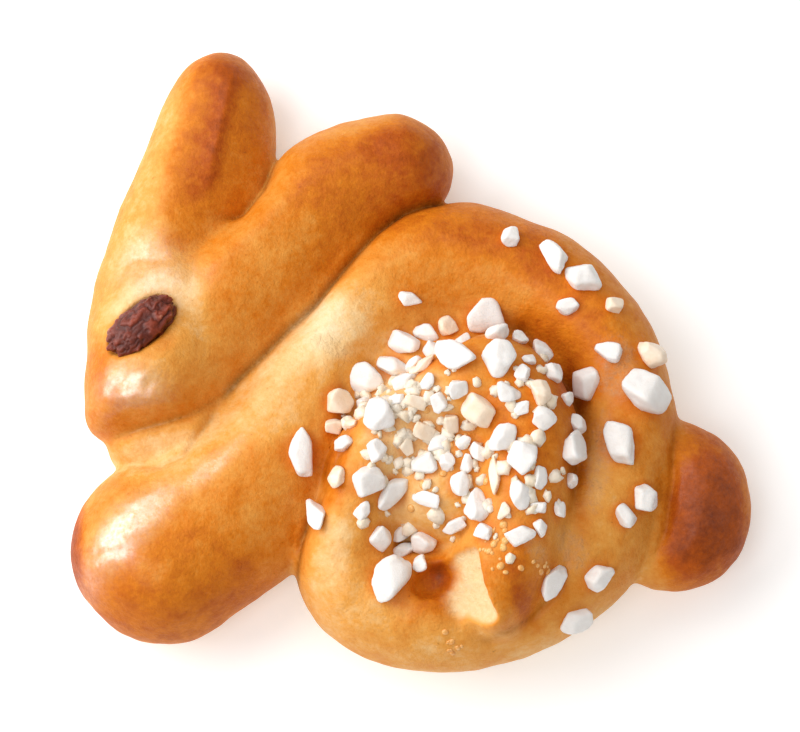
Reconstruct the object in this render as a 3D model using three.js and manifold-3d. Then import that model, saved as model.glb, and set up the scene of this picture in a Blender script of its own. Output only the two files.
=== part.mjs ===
// A brioche bun in the shape of a bunny lying on its side, with a raisin for an eye and pearl sugar baked
// onto its coiled body. Millimetres, +Z up. The tray that the bun was baked on is z = 0, the nose points to
// -X, the tail to +X and the ears to +Y. The origin is under the middle of the bun's box, on its flat base.
//
// The bread is dough rolled into strands that grew together in the oven, so it is one solid:
//   body   one long strand: forepaw, chest, back, rump and belly
//   coil   its inner turn, which climbs over the middle and ends in a cut tip that lies over the belly
//   bed    the dough that closes the coil below its inner turn
//   heart  the dough that closes the eye of the coil
//   head   a broad lump between the roots of two ears, which are the halves of a slit strand
//   neck   the dough that closes the crease between the head and the body
//   chin   a small fold of dough under the jaw
//   tail   a ball tucked under the rump
// The sugar is fused to the bread, and the raisin is a solid of its own, sunk in a socket.

import * as THREE from "three";
import { mergeVertices } from "three/addons/utils/BufferGeometryUtils.js";
import Module from "manifold-3d";

const wasm = await Module();
wasm.setup();

// The middle of the finished bun in the coordinates that the routes and places below are given in.
const MIDDLE = [0.4, 2.5];

// Strands of dough. A route is a walk over the tray: a start, a heading in degrees from +X, and legs of
// [length, turn in degrees], each straight or an arc. Widths to the left and right of the route, middles and
// half heights are stops of [distance along the route, mm]. A right width is given where it isn't the left
// one. The caps are the lengths of the rounded ends, inside the route.
const BODY = {
  start: [-51.7, -39.6],
  heading: 38,
  legs: [
    [29, 0], // forepaw
    [14, 26],
    [15, 0], // chest
    [75, -169], // back and rump
    [48, -84], // belly
    [11.5, -73.4],
  ],
  left: [
    [0, 15.2], [15, 15.2], [24, 12.8], [40, 11.2], [50, 9.4], [61, 6.1], [67, 6.3], [79, 10.6], [86, 11.4],
    [96, 9.6], [120, 8.4], [138, 10], [150, 11.7], [172, 10.9], [190, 8.8],
  ],
  right: [
    [0, 15.2], [16, 15.2], [28, 15.6], [40, 12.4], [53, 10.2], [78, 11.6], [96, 10], [120, 8.8],
    [150, 11.5], [172, 10.4], [190, 9.2],
  ],
  middle: [[0, 8.5]],
  halfHeight: [[0, 13.5], [48, 12]],
  startCap: 15,
  endCap: 6,
};
const COIL = {
  start: [-2.9, -39.1],
  heading: 171,
  legs: [
    [13, -83],
    [8, -14],
    [16, -38],
    [11, -36],
    [6, -48],
    [9, -44],
    [14, -14], // tip
    [15, -32],
  ],
  left: [[0, 9.9], [9, 8.8], [20, 5], [27, 5.6], [38, 4.8], [45, 6.6], [50, 9.4], [57, 9.2], [67, 7.4]],
  right: [[0, 9.8], [9, 9.2], [22, 8.8], [44, 9.6], [64, 8.8]],
  middle: [[1, 8.5], [27, 14], [50, 18], [69, 18], [92, 16.5]],
  halfHeight: [[0, 12], [59, 11.5], [92, 9.5]],
  startCap: 6,
  endCap: 3,
};
const BED = {
  start: [-20, -12],
  heading: 0,
  legs: [[53, 0]],
  left: [[0, 29]],
  middle: [[0, 6]],
  halfHeight: [[0, 12]],
  startCap: 24,
  endCap: 24,
};
const HEART = {
  start: [2.5, -31],
  heading: 70,
  legs: [[23, 0]],
  left: [[0, 11]],
  middle: [[0, 13]],
  halfHeight: [[0, 12]],
  startCap: 8,
  endCap: 8,
};
const HEAD = {
  start: [-44.6, -12.7],
  heading: 101,
  legs: [[12, -31], [27, 0]],
  left: [[0, 10], [5, 8.6], [9, 9.8], [20, 12.6], [28, 13], [39, 10]],
  right: [[0, 12.4], [4, 13.8], [14, 16], [24, 15], [39, 10]],
  middle: [[0, 9]],
  halfHeight: [[0, 12.5], [12, 15], [39, 10]],
  startCap: 5,
  endCap: 14,
};
const LEFT_EAR = {
  start: [-45, -3.5],
  heading: 82,
  legs: [[33, -9], [27.5, 3]],
  left: [[0, 10.1], [18, 10.8], [42, 9.5], [60.5, 7.6]],
  right: [[0, 9.6], [24, 10.6], [36, 12.4], [43, 12], [60.5, 7.6]],
  middle: [[0, 8]],
  halfHeight: [[0, 12.5], [60, 10]],
  startCap: 8,
  endCap: 9,
};
const RIGHT_EAR = {
  start: [-40.8, -5.4],
  heading: 68,
  legs: [[29, -22], [12, -2], [14, -36], [11.5, -8]],
  left: [[0, 10], [20, 9.8], [30, 6.9], [36, 7.5], [44, 10.5], [56, 10.6], [66.5, 9]],
  right: [[0, 10.2], [14, 13.1], [28, 14.5], [40, 13], [52, 11], [60, 9.7], [66.5, 9.2]],
  middle: [[0, 8.5]],
  halfHeight: [[0, 13], [67, 11.5]],
  startCap: 9,
  endCap: 9.5,
};
const NECK = {
  start: [-37, -14],
  heading: 49,
  legs: [[36, -3], [14, 4]],
  left: [[0, 9.5]],
  middle: [[0, 2]],
  halfHeight: [[0, 13.5]],
  startCap: 6,
  endCap: 6,
};
const CHIN = {
  start: [-50, -13],
  heading: -2,
  legs: [[20.4, 27]],
  left: [[0, 5]],
  right: [[0, 5], [8, 6.2]],
  middle: [[0, 7]],
  halfHeight: [[0, 9], [20, 10.5]],
  startCap: 6,
  endCap: 5,
};
const TAIL = {
  start: [29.5, -23],
  heading: 0,
  legs: [[26.2, 0]],
  left: [[0, 14]],
  middle: [[0, 7.5]],
  halfHeight: [[0, 6], [10, 7.6], [17, 10]],
  startCap: 13,
  endCap: 13,
};

// Where the knife cut the strand's tip: a slanted face that looks down to the nose side.
const TIP_CUT = { at: [12.6, -40, 24.6], slope: 45, turn: 16, length: 17, reach: 8.6, depth: 12 };

// The hollow beside the tip.
const PIT = { at: [3.4, -36.8, 20.2], turn: 30, halfSize: [3.8, 3, 3.8] };

// The crease that the head's weight pressed between jaw, ear and body, seen from above: a thin groove.
const CREASE = {
  route: [
    [-41, -11], [-34, -9.3], [-29.5, -5.5], [-23.9, 0.5],
    [-15.7, 8.8], [-9.3, 17.1], [-1.2, 25], [4, 27.3],
  ],
  radius: 1.4,
  depth: 1.3,
};

const RAISIN = {
  at: [-43.1, 3.7],
  turn: 43, // degrees from +X to its long side
  halfSize: [6.5, 3.5, 2.7],
  sink: 1.1, // its middle lies this far under the crust
  wrinkle: 0.09, // share of its size
  gap: 0.35, // clear space between it and the socket
  dimple: { halfSize: [8.6, 5.6, 3], rise: 1.2 }, // the bowl that it pressed into the dough
};

// The large grains of sugar, one by one: [x, y, length, width, turn in degrees].
const LARGE_SUGAR = [
  [-17.5, -16.5, 8.6, 3.8, -88], [-14.5, -26.5, 6.9, 3.6, -45], [-3, -37, 7.9, 5.4, 50],
  [37, -7, 9.1, 6.9, -50], [12, 6.5, 7.3, 5.4, 20], [7, -3, 7.6, 4.6, -60], [13.5, -4, 5.1, 5.1, 0],
  [-7, -4, 5.1, 4.8, -50], [-5, -12.5, 5.4, 5, 40], [-12, -8, 5, 4.6, 0], [10.5, -11, 5.6, 4, -45],
  [14.5, -16, 4.6, 4.1, 60], [17, -19, 5.3, 4.6, 60], [24.5, -17, 5.9, 5, 15], [33, -15, 7.6, 5, -75],
  [38, -0.5, 5.1, 4.5, -40], [28.5, -5, 5.3, 4.3, 80], [27.5, 12, 5.3, 5, 0], [23, 16, 6.3, 3.3, -65],
  [16, 19, 4, 3.1, 75], [32.5, 7.5, 3.3, 3, 0], [32, -0.5, 4.3, 3.3, -30], [25.5, 7.5, 3.6, 2.8, 30],
  [36.5, -23.5, 4.6, 4.3, 0], [33.5, -26.5, 4.6, 3, -45], [29, -36, 4.5, 4, 60],
  [21.5, -37, 5.6, 3.3, 50], [26, -42, 5.4, 3.6, 20], [-0.5, 9, 3.8, 2.6, 0], [-7, -22, 5.4, 5.1, 20],
  [-3.5, -23.5, 6.3, 3.6, 60], [2, -30, 4.8, 4.1, -50], [-5, -30, 4.3, 3.3, -50],
  [10.5, -26.5, 5.6, 4.1, -60], [16.5, -31, 4.5, 3.3, 10], [13, -21.5, 5.9, 2.1, -80],
];

// The small grains, thrown at the middle of the coil. A throw that lands on another grain is thrown again.
const SMALL_SUGAR = {
  middle: [7, -15],
  reach: 20,
  crowding: 0.62, // 0.5 is even, more draws the grains to the middle
  count: 72,
  length: [2.8, 4.8],
  slimness: [0.6, 0.95], // width as a share of length
  gap: 0.05,
  bare: { middle: [8.5, -38.5], reach: 8 }, // the cut tip and the pit, where none lies
  throws: 4000,
};
const GRAIN = { thickness: 0.8, lift: 0.16, roughness: 0.2, tilt: 0.35 }; // the tilt is in radians
const SEED = 20;

const STRAND_SIDES = 20; // facets round a strand
const ROD_SIDES = 8; // facets round the rod that cuts the crease
const ROW_STEP = 4.2; // mm between rows of facets along a strand
const CAP_ROWS = 4; // rows of facets on a rounded end
const TRAY = { size: 200, depth: 40 }; // the block that cuts the base flat

const UP = new THREE.Vector3(0, 0, 1);

// The same row of numbers from 0 to 1 on every run.
function seededRandom(seed) {
  let state = seed;
  return () => {
    state = (state + 0x6d2b79f5) | 0;
    let t = Math.imul(state ^ (state >>> 15), 1 | state);
    t = (t + Math.imul(t ^ (t >>> 7), 61 | t)) ^ t;
    return ((t ^ (t >>> 14)) >>> 0) / 4294967296;
  };
}

// A smooth value between stops of [distance, value], flat beyond the first and the last.
function between(stops, at) {
  const next = stops.findIndex((stop) => stop[0] > at);
  if (next === 0) return stops[0][1];
  if (next < 0) return stops[stops.length - 1][1];
  const [from, to] = [stops[next - 1], stops[next]];
  return THREE.MathUtils.lerp(from[1], to[1], THREE.MathUtils.smoothstep(at, from[0], to[0]));
}

// Where a route is after a distance, and which way it heads there, in radians.
function placeOn(spec, distance) {
  let [x, y] = spec.start;
  let heading = THREE.MathUtils.degToRad(spec.heading);
  let left = distance;
  for (const [length, turn] of spec.legs) {
    const walked = Math.min(left, length);
    const half = (THREE.MathUtils.degToRad(turn) * walked) / length / 2;
    const chord = Math.abs(half) > 1e-6 ? (walked * Math.sin(half)) / half : walked;
    x += chord * Math.cos(heading + half);
    y += chord * Math.sin(heading + half);
    heading += 2 * half;
    left -= walked;
  }
  return { x, y, heading };
}

// The outline of a capsule for the lathe, [share of the radius, distance], with round ends and even rows.
function capsuleOutline(length, startCap, endCap) {
  const cap = [];
  for (let i = 0; i < CAP_ROWS; i++) {
    const turn = (i / CAP_ROWS) * (Math.PI / 2);
    cap.push([Math.sin(turn), 1 - Math.cos(turn)]);
  }
  const straight = length - startCap - endCap;
  const steps = Math.max(1, Math.round(straight / ROW_STEP));
  const rows = cap.map(([radius, rise]) => [radius, startCap * rise]);
  for (let i = 0; i <= steps; i++) rows.push([1, startCap + (straight * i) / steps]);
  for (const [radius, rise] of cap.reverse()) rows.push([radius, length - endCap * rise]);
  return rows.map(([radius, distance]) => new THREE.Vector2(radius, distance));
}

// One strand of dough: a capsule stretched to the strand's widths and heights and bent along its route.
function strand(spec) {
  const length = spec.legs.reduce((sum, [leg]) => sum + leg, 0);
  const shape = new THREE.LatheGeometry(capsuleOutline(length, spec.startCap, spec.endCap), STRAND_SIDES);
  const at = shape.getAttribute("position");
  for (let i = 0; i < at.count; i++) {
    const distance = THREE.MathUtils.clamp(at.getY(i), 0, length);
    const { x, y, heading } = placeOn(spec, distance);
    const width = at.getX(i) > 0 && spec.right ? spec.right : spec.left;
    const side = at.getX(i) * between(width, distance);
    const z = between(spec.middle, distance) + at.getZ(i) * between(spec.halfHeight, distance);
    at.setXYZ(i, x + side * Math.sin(heading), y - side * Math.cos(heading), z);
  }
  return shape;
}

// A thin rod with round ends that follows a route over the crust, sunk to a depth.
function rodOn(crust, { route, radius, depth }) {
  const places = route.map(([x, y]) => {
    const ray = new THREE.Raycaster(new THREE.Vector3(x, y, TRAY.size), UP.clone().negate());
    return new THREE.Vector3(x, y, ray.intersectObject(crust)[0].point.z + radius - depth);
  });
  const line = new THREE.CatmullRomCurve3(places);
  const length = line.getLength();
  const shape = new THREE.LatheGeometry(capsuleOutline(length, radius * 3, radius * 3), ROD_SIDES);
  const at = shape.getAttribute("position");
  for (let i = 0; i < at.count; i++) {
    const share = THREE.MathUtils.clamp(at.getY(i) / length, 0, 1);
    const side = line.getTangentAt(share).cross(UP).normalize();
    const place = line.getPointAt(share).addScaledVector(side, at.getX(i) * radius);
    at.setXYZ(i, place.x, place.y, place.z + at.getZ(i) * radius);
  }
  return shape;
}

// A closed three.js mesh as a solid for joining and cutting.
function solid(geometry) {
  geometry.deleteAttribute("normal");
  geometry.deleteAttribute("uv");
  const merged = mergeVertices(geometry, 1e-4);
  const numProp = 3;
  const vertProperties = merged.getAttribute("position").array;
  const triVerts = new Uint32Array(merged.index.array);
  return new wasm.Manifold(new wasm.Mesh({ numProp, vertProperties, triVerts }));
}

// A joined or cut solid as three.js geometry.
function geometryOf(made) {
  const mesh = made.getMesh();
  return new THREE.BufferGeometry()
    .setAttribute("position", new THREE.BufferAttribute(mesh.vertProperties, 3))
    .setIndex(new THREE.BufferAttribute(mesh.triVerts, 1));
}

// A place on the crust seen from above: a matrix whose z axis leaves the crust there, turned by an angle
// about it and lifted off it by a height.
function seatOn(crust, [x, y], turn, lift) {
  const ray = new THREE.Raycaster(new THREE.Vector3(x, y, TRAY.size), UP.clone().negate());
  const { point, face } = ray.intersectObject(crust)[0];
  const lean = new THREE.Quaternion().setFromUnitVectors(UP, face.normal);
  const spin = new THREE.Quaternion().setFromAxisAngle(UP, turn);
  const place = point.clone().addScaledVector(face.normal, lift);
  return new THREE.Matrix4().compose(place, lean.multiply(spin), new THREE.Vector3(1, 1, 1));
}

// A ball squeezed to three half sizes and folded by slow waves that run along and round it.
function raisinShape([long, wide, high], wrinkle) {
  const shape = new THREE.SphereGeometry(1, 22, 14);
  const at = shape.getAttribute("position");
  for (let i = 0; i < at.count; i++) {
    const [x, y, z] = [at.getX(i), at.getY(i), at.getZ(i)];
    const folds = Math.sin(7 * y + 3 * x) * Math.cos(5 * z - 2 * x) + 0.6 * Math.sin(9 * z + 4 * y);
    const size = 1 - wrinkle * (0.8 + 0.6 * folds);
    at.setXYZ(i, x * long * size, y * wide * size, z * high * size);
  }
  return shape;
}

// A smooth ball squeezed to three half sizes.
function ball(halfSize) {
  return new THREE.SphereGeometry(1, 28, 16).scale(...halfSize);
}

// One grain of sugar: a 20-sided lump with each corner pushed in or out, longest along its own x axis.
function grainShape(length, width, random) {
  const shape = new THREE.IcosahedronGeometry(1, 0);
  shape.deleteAttribute("normal");
  shape.deleteAttribute("uv");
  const lump = mergeVertices(shape, 1e-4);
  const at = lump.getAttribute("position");
  for (let i = 0; i < at.count; i++) {
    const push = 1 + GRAIN.roughness * (2 * random() - 1);
    at.setXYZ(i, at.getX(i) * push, at.getY(i) * push, at.getZ(i) * push);
  }
  return lump.scale(length / 2, width / 2, (width * GRAIN.thickness) / 2);
}

// The places and sizes of the small grains, clear of the large ones and of each other.
function throwSmallSugar(random) {
  const { middle, reach, crowding, count, length, slimness, gap, bare, throws } = SMALL_SUGAR;
  const landed = LARGE_SUGAR.map(([x, y, long, wide]) => ({ x, y, radius: (long + wide) / 4 }));
  const grains = [];
  for (let i = 0; i < throws && grains.length < count; i++) {
    const turn = 2 * Math.PI * random();
    const distance = reach * random() ** crowding;
    const x = middle[0] + distance * Math.cos(turn);
    const y = middle[1] + distance * Math.sin(turn);
    const long = THREE.MathUtils.lerp(...length, random());
    const wide = long * THREE.MathUtils.lerp(...slimness, random());
    const spin = 360 * random();
    const radius = (long + wide) / 4;
    if (Math.hypot(x - bare.middle[0], y - bare.middle[1]) < bare.reach) continue;
    if (landed.some((grain) => Math.hypot(x - grain.x, y - grain.y) < radius + grain.radius + gap)) continue;
    landed.push({ x, y, radius });
    grains.push([x, y, long, wide, spin]);
  }
  return grains;
}

// All the sugar as one solid, each grain half sunk in the crust.
function sugarOn(crust) {
  const random = seededRandom(SEED);
  const grains = [...LARGE_SUGAR, ...throwSmallSugar(random)];
  const solids = grains.map(([x, y, length, width, turn]) => {
    const lift = width * GRAIN.lift;
    const tilt = new THREE.Matrix4().makeRotationX(GRAIN.tilt * (2 * random() - 1));
    const seat = seatOn(crust, [x, y], THREE.MathUtils.degToRad(turn), lift).multiply(tilt);
    return solid(grainShape(length, width, random).applyMatrix4(seat));
  });
  return solids.reduce((whole, grain) => whole.add(grain));
}

// The largest closed body of a solid: it leaves out loose scraps and fills hollows that nothing reaches.
function mainBody(made) {
  const bodies = made.decompose().sort((a, b) => b.volume() - a.volume());
  return bodies[0];
}

const tray = solid(
  new THREE.BoxGeometry(TRAY.size, TRAY.size, TRAY.depth).translate(0, 0, -TRAY.depth / 2),
);
const knife = solid(
  new THREE.BoxGeometry(TIP_CUT.reach, TIP_CUT.length, TIP_CUT.depth)
    .translate(-TIP_CUT.reach / 2, 0, TIP_CUT.depth / 2)
    .rotateY(-THREE.MathUtils.degToRad(TIP_CUT.slope))
    .rotateZ(THREE.MathUtils.degToRad(TIP_CUT.turn))
    .translate(...TIP_CUT.at),
);
const pit = solid(
  ball(PIT.halfSize)
    .rotateZ(THREE.MathUtils.degToRad(PIT.turn))
    .translate(...PIT.at),
);
const dough = [BODY, COIL, BED, HEART, HEAD, LEFT_EAR, RIGHT_EAR, NECK, CHIN, TAIL]
  .map((spec) => solid(strand(spec)))
  .reduce((whole, piece) => whole.add(piece))
  .subtract(tray)
  .subtract(knife)
  .subtract(pit);
const groove = solid(rodOn(new THREE.Mesh(geometryOf(dough)), CREASE));
const loaf = dough.subtract(groove);
const crust = new THREE.Mesh(geometryOf(loaf));

const raisinTurn = THREE.MathUtils.degToRad(RAISIN.turn);
const raisinSeat = seatOn(crust, RAISIN.at, raisinTurn, -RAISIN.sink);
const dimpleSeat = seatOn(crust, RAISIN.at, raisinTurn, RAISIN.dimple.rise);
const socket = solid(ball(RAISIN.halfSize.map((half) => half + RAISIN.gap)).applyMatrix4(raisinSeat));
const dimple = solid(ball(RAISIN.dimple.halfSize).applyMatrix4(dimpleSeat));

const bun = new THREE.Mesh(
  geometryOf(mainBody(loaf.subtract(dimple).subtract(socket).add(sugarOn(crust)))),
  new THREE.MeshStandardMaterial({ color: 0xd08a3c, roughness: 0.45, metalness: 0 }),
);
bun.name = "bun";

const raisin = new THREE.Mesh(
  raisinShape(RAISIN.halfSize, RAISIN.wrinkle).applyMatrix4(raisinSeat),
  new THREE.MeshStandardMaterial({ color: 0x4a1c14, roughness: 0.5, metalness: 0 }),
);
raisin.name = "raisin_eye";

const bunny = new THREE.Group();
bunny.add(bun, raisin);
bunny.position.set(-MIDDLE[0], -MIDDLE[1], 0);

export default bunny;
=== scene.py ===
"""A brioche bun in the shape of a bunny lying on its side, seen from nearly straight above.

The bread is dough rolled into strands that grew together in the oven: a forepaw that runs on into the back,
the rump, the belly and an inner turn, a head with two ears, and a ball of a tail. Pearl sugar is baked onto
the coil, and a raisin is the eye. Shapes are worked out in millimetres, in the coordinates of the strands'
routes, and are put into the meshes in metres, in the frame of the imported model.
"""

import logging
import math
from collections.abc import Callable, Iterator
from dataclasses import dataclass, field, replace
from enum import Enum

import bmesh
import bpy
import numpy as np
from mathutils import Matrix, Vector
from mathutils.bvhtree import BVHTree


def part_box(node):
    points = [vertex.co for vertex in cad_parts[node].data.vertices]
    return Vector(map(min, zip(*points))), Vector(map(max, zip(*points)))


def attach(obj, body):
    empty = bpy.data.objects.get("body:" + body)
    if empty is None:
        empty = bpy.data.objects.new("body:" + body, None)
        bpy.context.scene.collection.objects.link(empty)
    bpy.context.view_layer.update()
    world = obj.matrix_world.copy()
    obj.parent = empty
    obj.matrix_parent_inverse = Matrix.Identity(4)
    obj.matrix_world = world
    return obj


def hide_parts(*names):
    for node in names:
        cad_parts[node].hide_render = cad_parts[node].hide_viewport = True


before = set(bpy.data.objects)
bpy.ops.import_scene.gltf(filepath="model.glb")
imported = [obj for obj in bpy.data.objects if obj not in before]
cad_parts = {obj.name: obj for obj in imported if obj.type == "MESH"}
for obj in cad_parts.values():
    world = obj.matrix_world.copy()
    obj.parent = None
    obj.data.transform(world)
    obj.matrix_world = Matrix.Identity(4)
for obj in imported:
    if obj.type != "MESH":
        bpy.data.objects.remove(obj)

LOG = logging.getLogger("bunny_bun")
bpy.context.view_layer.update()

MM = 0.001
MIDDLE = np.array([0.4, 2.5, 0.0])  # the middle of the bun in the coordinates of the routes
SEED = 20

Pair = tuple[float, float]
Triple = tuple[float, float, float]
Stops = tuple[Pair, ...]
Ramp = tuple[tuple[float, Triple], ...]
Faces = list[tuple[int, ...]]


def eased(share: np.ndarray) -> np.ndarray:
    """A share held between 0 and 1 and eased at both ends: 3 s squared less 2 s cubed."""
    share = np.clip(share, 0.0, 1.0)
    return share * share * (3.0 - 2.0 * share)


def smoothstep(low: float, high: float, value: np.ndarray) -> np.ndarray:
    """A smooth rise from 0 where the value is low to 1 where it is high."""
    return eased((value - low) / (high - low))


def between(stops: Stops, at: np.ndarray) -> np.ndarray:
    """A smooth value between stops of (place, value), flat beyond the first and the last.

    Args:
        stops: The places and their values, in order.
        at: Where the value is wanted.

    Returns:
        One value for each place in at.
    """
    places, values = np.array(stops, float).T
    if len(places) == 1:
        return np.full_like(at, values[0])
    after = np.clip(np.searchsorted(places, at, side="right"), 1, len(places) - 1)
    share = eased((at - places[after - 1]) / (places[after] - places[after - 1]))
    return values[after - 1] + (values[after] - values[after - 1]) * share


def dot(first: np.ndarray, second: np.ndarray) -> np.ndarray:
    """The dot product of each row of one array with the same row of another."""
    return np.einsum("ij,ij->i", first, second)


def turned(turn: float) -> np.ndarray:
    """The two axes, as rows, of a plane frame turned by an angle in degrees."""
    angle = math.radians(turn)
    return np.array([[math.cos(angle), math.sin(angle)], [-math.sin(angle), math.cos(angle)]])


def spin(turn: float, axis: int = 0) -> np.ndarray:
    """The matrix in space that turns the plane of an axis and the next.

    Args:
        turn: The angle in degrees.
        axis: The plane's first axis.

    Returns:
        The matrix.
    """
    matrix = np.eye(3)
    matrix[axis : axis + 2, axis : axis + 2] = turned(turn)
    return matrix


def distance_to_line(places: np.ndarray, line: np.ndarray) -> tuple[np.ndarray, np.ndarray]:
    """How far places lie from a line of straight stretches, seen from above.

    Each stretch gives the nearest point on it, by dropping a perpendicular and stopping at its ends, and
    the smallest distance over the stretches counts.

    Args:
        places: Points, one to a row.
        line: The line's corners, one to a row.

    Returns:
        The distances, and the share of the whole line's length at which the nearest point lies.
    """
    steps = np.diff(line, axis=0)
    lengths = np.hypot(*steps.T)
    begun = np.concatenate([[0.0], np.cumsum(lengths)])
    best = np.full(len(places), np.inf)
    share = np.zeros(len(places))
    for corner, step, length, before in zip(line, steps, lengths, begun):
        along = np.clip((places[:, :2] - corner) @ step / length**2, 0.0, 1.0)
        gap = np.hypot(*(places[:, :2] - corner - along[:, None] * step).T)
        nearer = gap < best
        best = np.where(nearer, gap, best)
        share = np.where(nearer, (before + along * length) / begun[-1], share)
    return best, share


def bumps(seed: int, size: float, places: np.ndarray) -> np.ndarray:
    """Smooth seeded noise in space: random slopes at a lattice's corners, blended by a quintic curve.

    Args:
        seed: Which slopes are drawn.
        size: About how wide its bumps are.
        places: Points, one to a row.

    Returns:
        The noise at each place, from about -1 to 1.
    """
    choice, steep = 512, 1.6  # how many slopes there are to choose from, and their length
    rng = np.random.default_rng(seed)
    slopes = rng.normal(size=(choice, 3))
    slopes *= steep / np.linalg.norm(slopes, axis=1, keepdims=True)
    mix = rng.permutation(choice)
    scaled = places / size
    cell = np.floor(scaled).astype(int)
    local = scaled - cell
    fade = local**3 * (local * (local * 6.0 - 15.0) + 10.0)
    total = np.zeros(len(places))
    for corner in np.ndindex(2, 2, 2):
        x, y, z = (cell + corner).T % choice
        slope = slopes[mix[(mix[(mix[x] + y) % choice] + z) % choice]]
        weight = np.prod(np.where(np.array(corner, bool), fade, 1.0 - fade), axis=1)
        total += weight * dot(local - corner, slope)
    return total


def layered(seed: int, size: float, places: np.ndarray, layers: int = 3) -> np.ndarray:
    """Noise added to itself at half the size and half the height, several times."""
    return sum(bumps(seed + i, size / 2**i, places) / 2**i for i in range(layers))


def tube_faces(rows: int, sides: int) -> Faces:
    """The faces of a closed tube: quads between rows of points, and a fan to the point at each end.

    Args:
        rows: Rows of points, without the two end points.
        sides: Points in a row.

    Returns:
        The faces, for points in the order start point, rows, end point.
    """
    row, side = np.meshgrid(np.arange(rows - 1), np.arange(sides), indexing="ij")
    here = 1 + row * sides + side
    beside = 1 + row * sides + (side + 1) % sides
    quads = np.stack([here, here + sides, beside + sides, beside], axis=-1).reshape(-1, 4)
    ring = np.arange(sides)
    onward = (ring + 1) % sides
    first = np.stack([np.zeros_like(ring), 1 + ring, 1 + onward], axis=-1)
    base = 1 + (rows - 1) * sides
    last = np.stack([np.full_like(ring, 1 + rows * sides), base + onward, base + ring], axis=-1)
    return [*map(tuple, quads.tolist()), *map(tuple, first.tolist()), *map(tuple, last.tolist())]


def linked(name: str, data: bpy.types.ID) -> bpy.types.Object:
    """A new object, linked to the scene.

    Args:
        name: Its name.
        data: Its mesh, light or camera.

    Returns:
        The object.
    """
    made = bpy.data.objects.new(name, data)
    bpy.context.scene.collection.objects.link(made)
    return made


def new_piece(
    name: str, places: np.ndarray, faces: Faces, material: bpy.types.Material
) -> bpy.types.Object:
    """A smooth-shaded mesh object at the origin.

    Args:
        name: The piece's name.
        places: Its points in millimetres, in the coordinates of the routes.
        faces: Its faces.
        material: Its material.

    Returns:
        The object, with its points in metres in the model's frame.
    """
    mesh = bpy.data.meshes.new(name)
    mesh.from_pydata(((places - MIDDLE) * MM).tolist(), [], faces)
    mesh.shade_smooth()
    mesh.update()
    mesh.materials.append(material)
    return linked(name, mesh)


def put_value(piece: bpy.types.Object, name: str, values: np.ndarray) -> None:
    """Stores one number for each point of a piece, under a name that a material can read."""
    layer = piece.data.attributes.new(name, "FLOAT", "POINT")
    layer.data.foreach_set("value", values.astype(np.float32))


def math_node(operation: str, swapped: bool = False) -> Callable[["Wire", "Wire | float"], "Wire"]:
    """An operator on wires that adds a Math node.

    Args:
        operation: What the node does.
        swapped: Whether the wire is its second value instead of its first.

    Returns:
        The operator, as a method.
    """

    def operator(self: "Wire", other: "Wire | float") -> "Wire":
        """Adds the node and gives its output."""
        values = {int(swapped): self, 1 - int(swapped): other}
        return self.bench.node("ShaderNodeMath", {"operation": operation}, values)

    return operator


class Wire:
    """A value in a material, on which arithmetic adds nodes."""

    def __init__(self, bench: "Bench", socket: bpy.types.NodeSocket) -> None:
        """Keeps the material's bench and the socket that gives the value."""
        self.bench = bench
        self.socket = socket

    __add__ = __radd__ = math_node("ADD")
    __mul__ = __rmul__ = math_node("MULTIPLY")
    __sub__ = math_node("SUBTRACT")
    __rsub__ = math_node("SUBTRACT", swapped=True)

    def clamped(self) -> "Wire":
        """The value held between 0 and 1."""
        return self.bench.node("ShaderNodeClamp", {}, {0: self})

    def rise(self, low: float, high: float) -> "Wire":
        """A smooth rise from 0 where the value is low to 1 where it is high."""
        settings = {"interpolation_type": "SMOOTHSTEP"}
        return self.bench.node("ShaderNodeMapRange", settings, {0: self, 1: low, 2: high})


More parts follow.
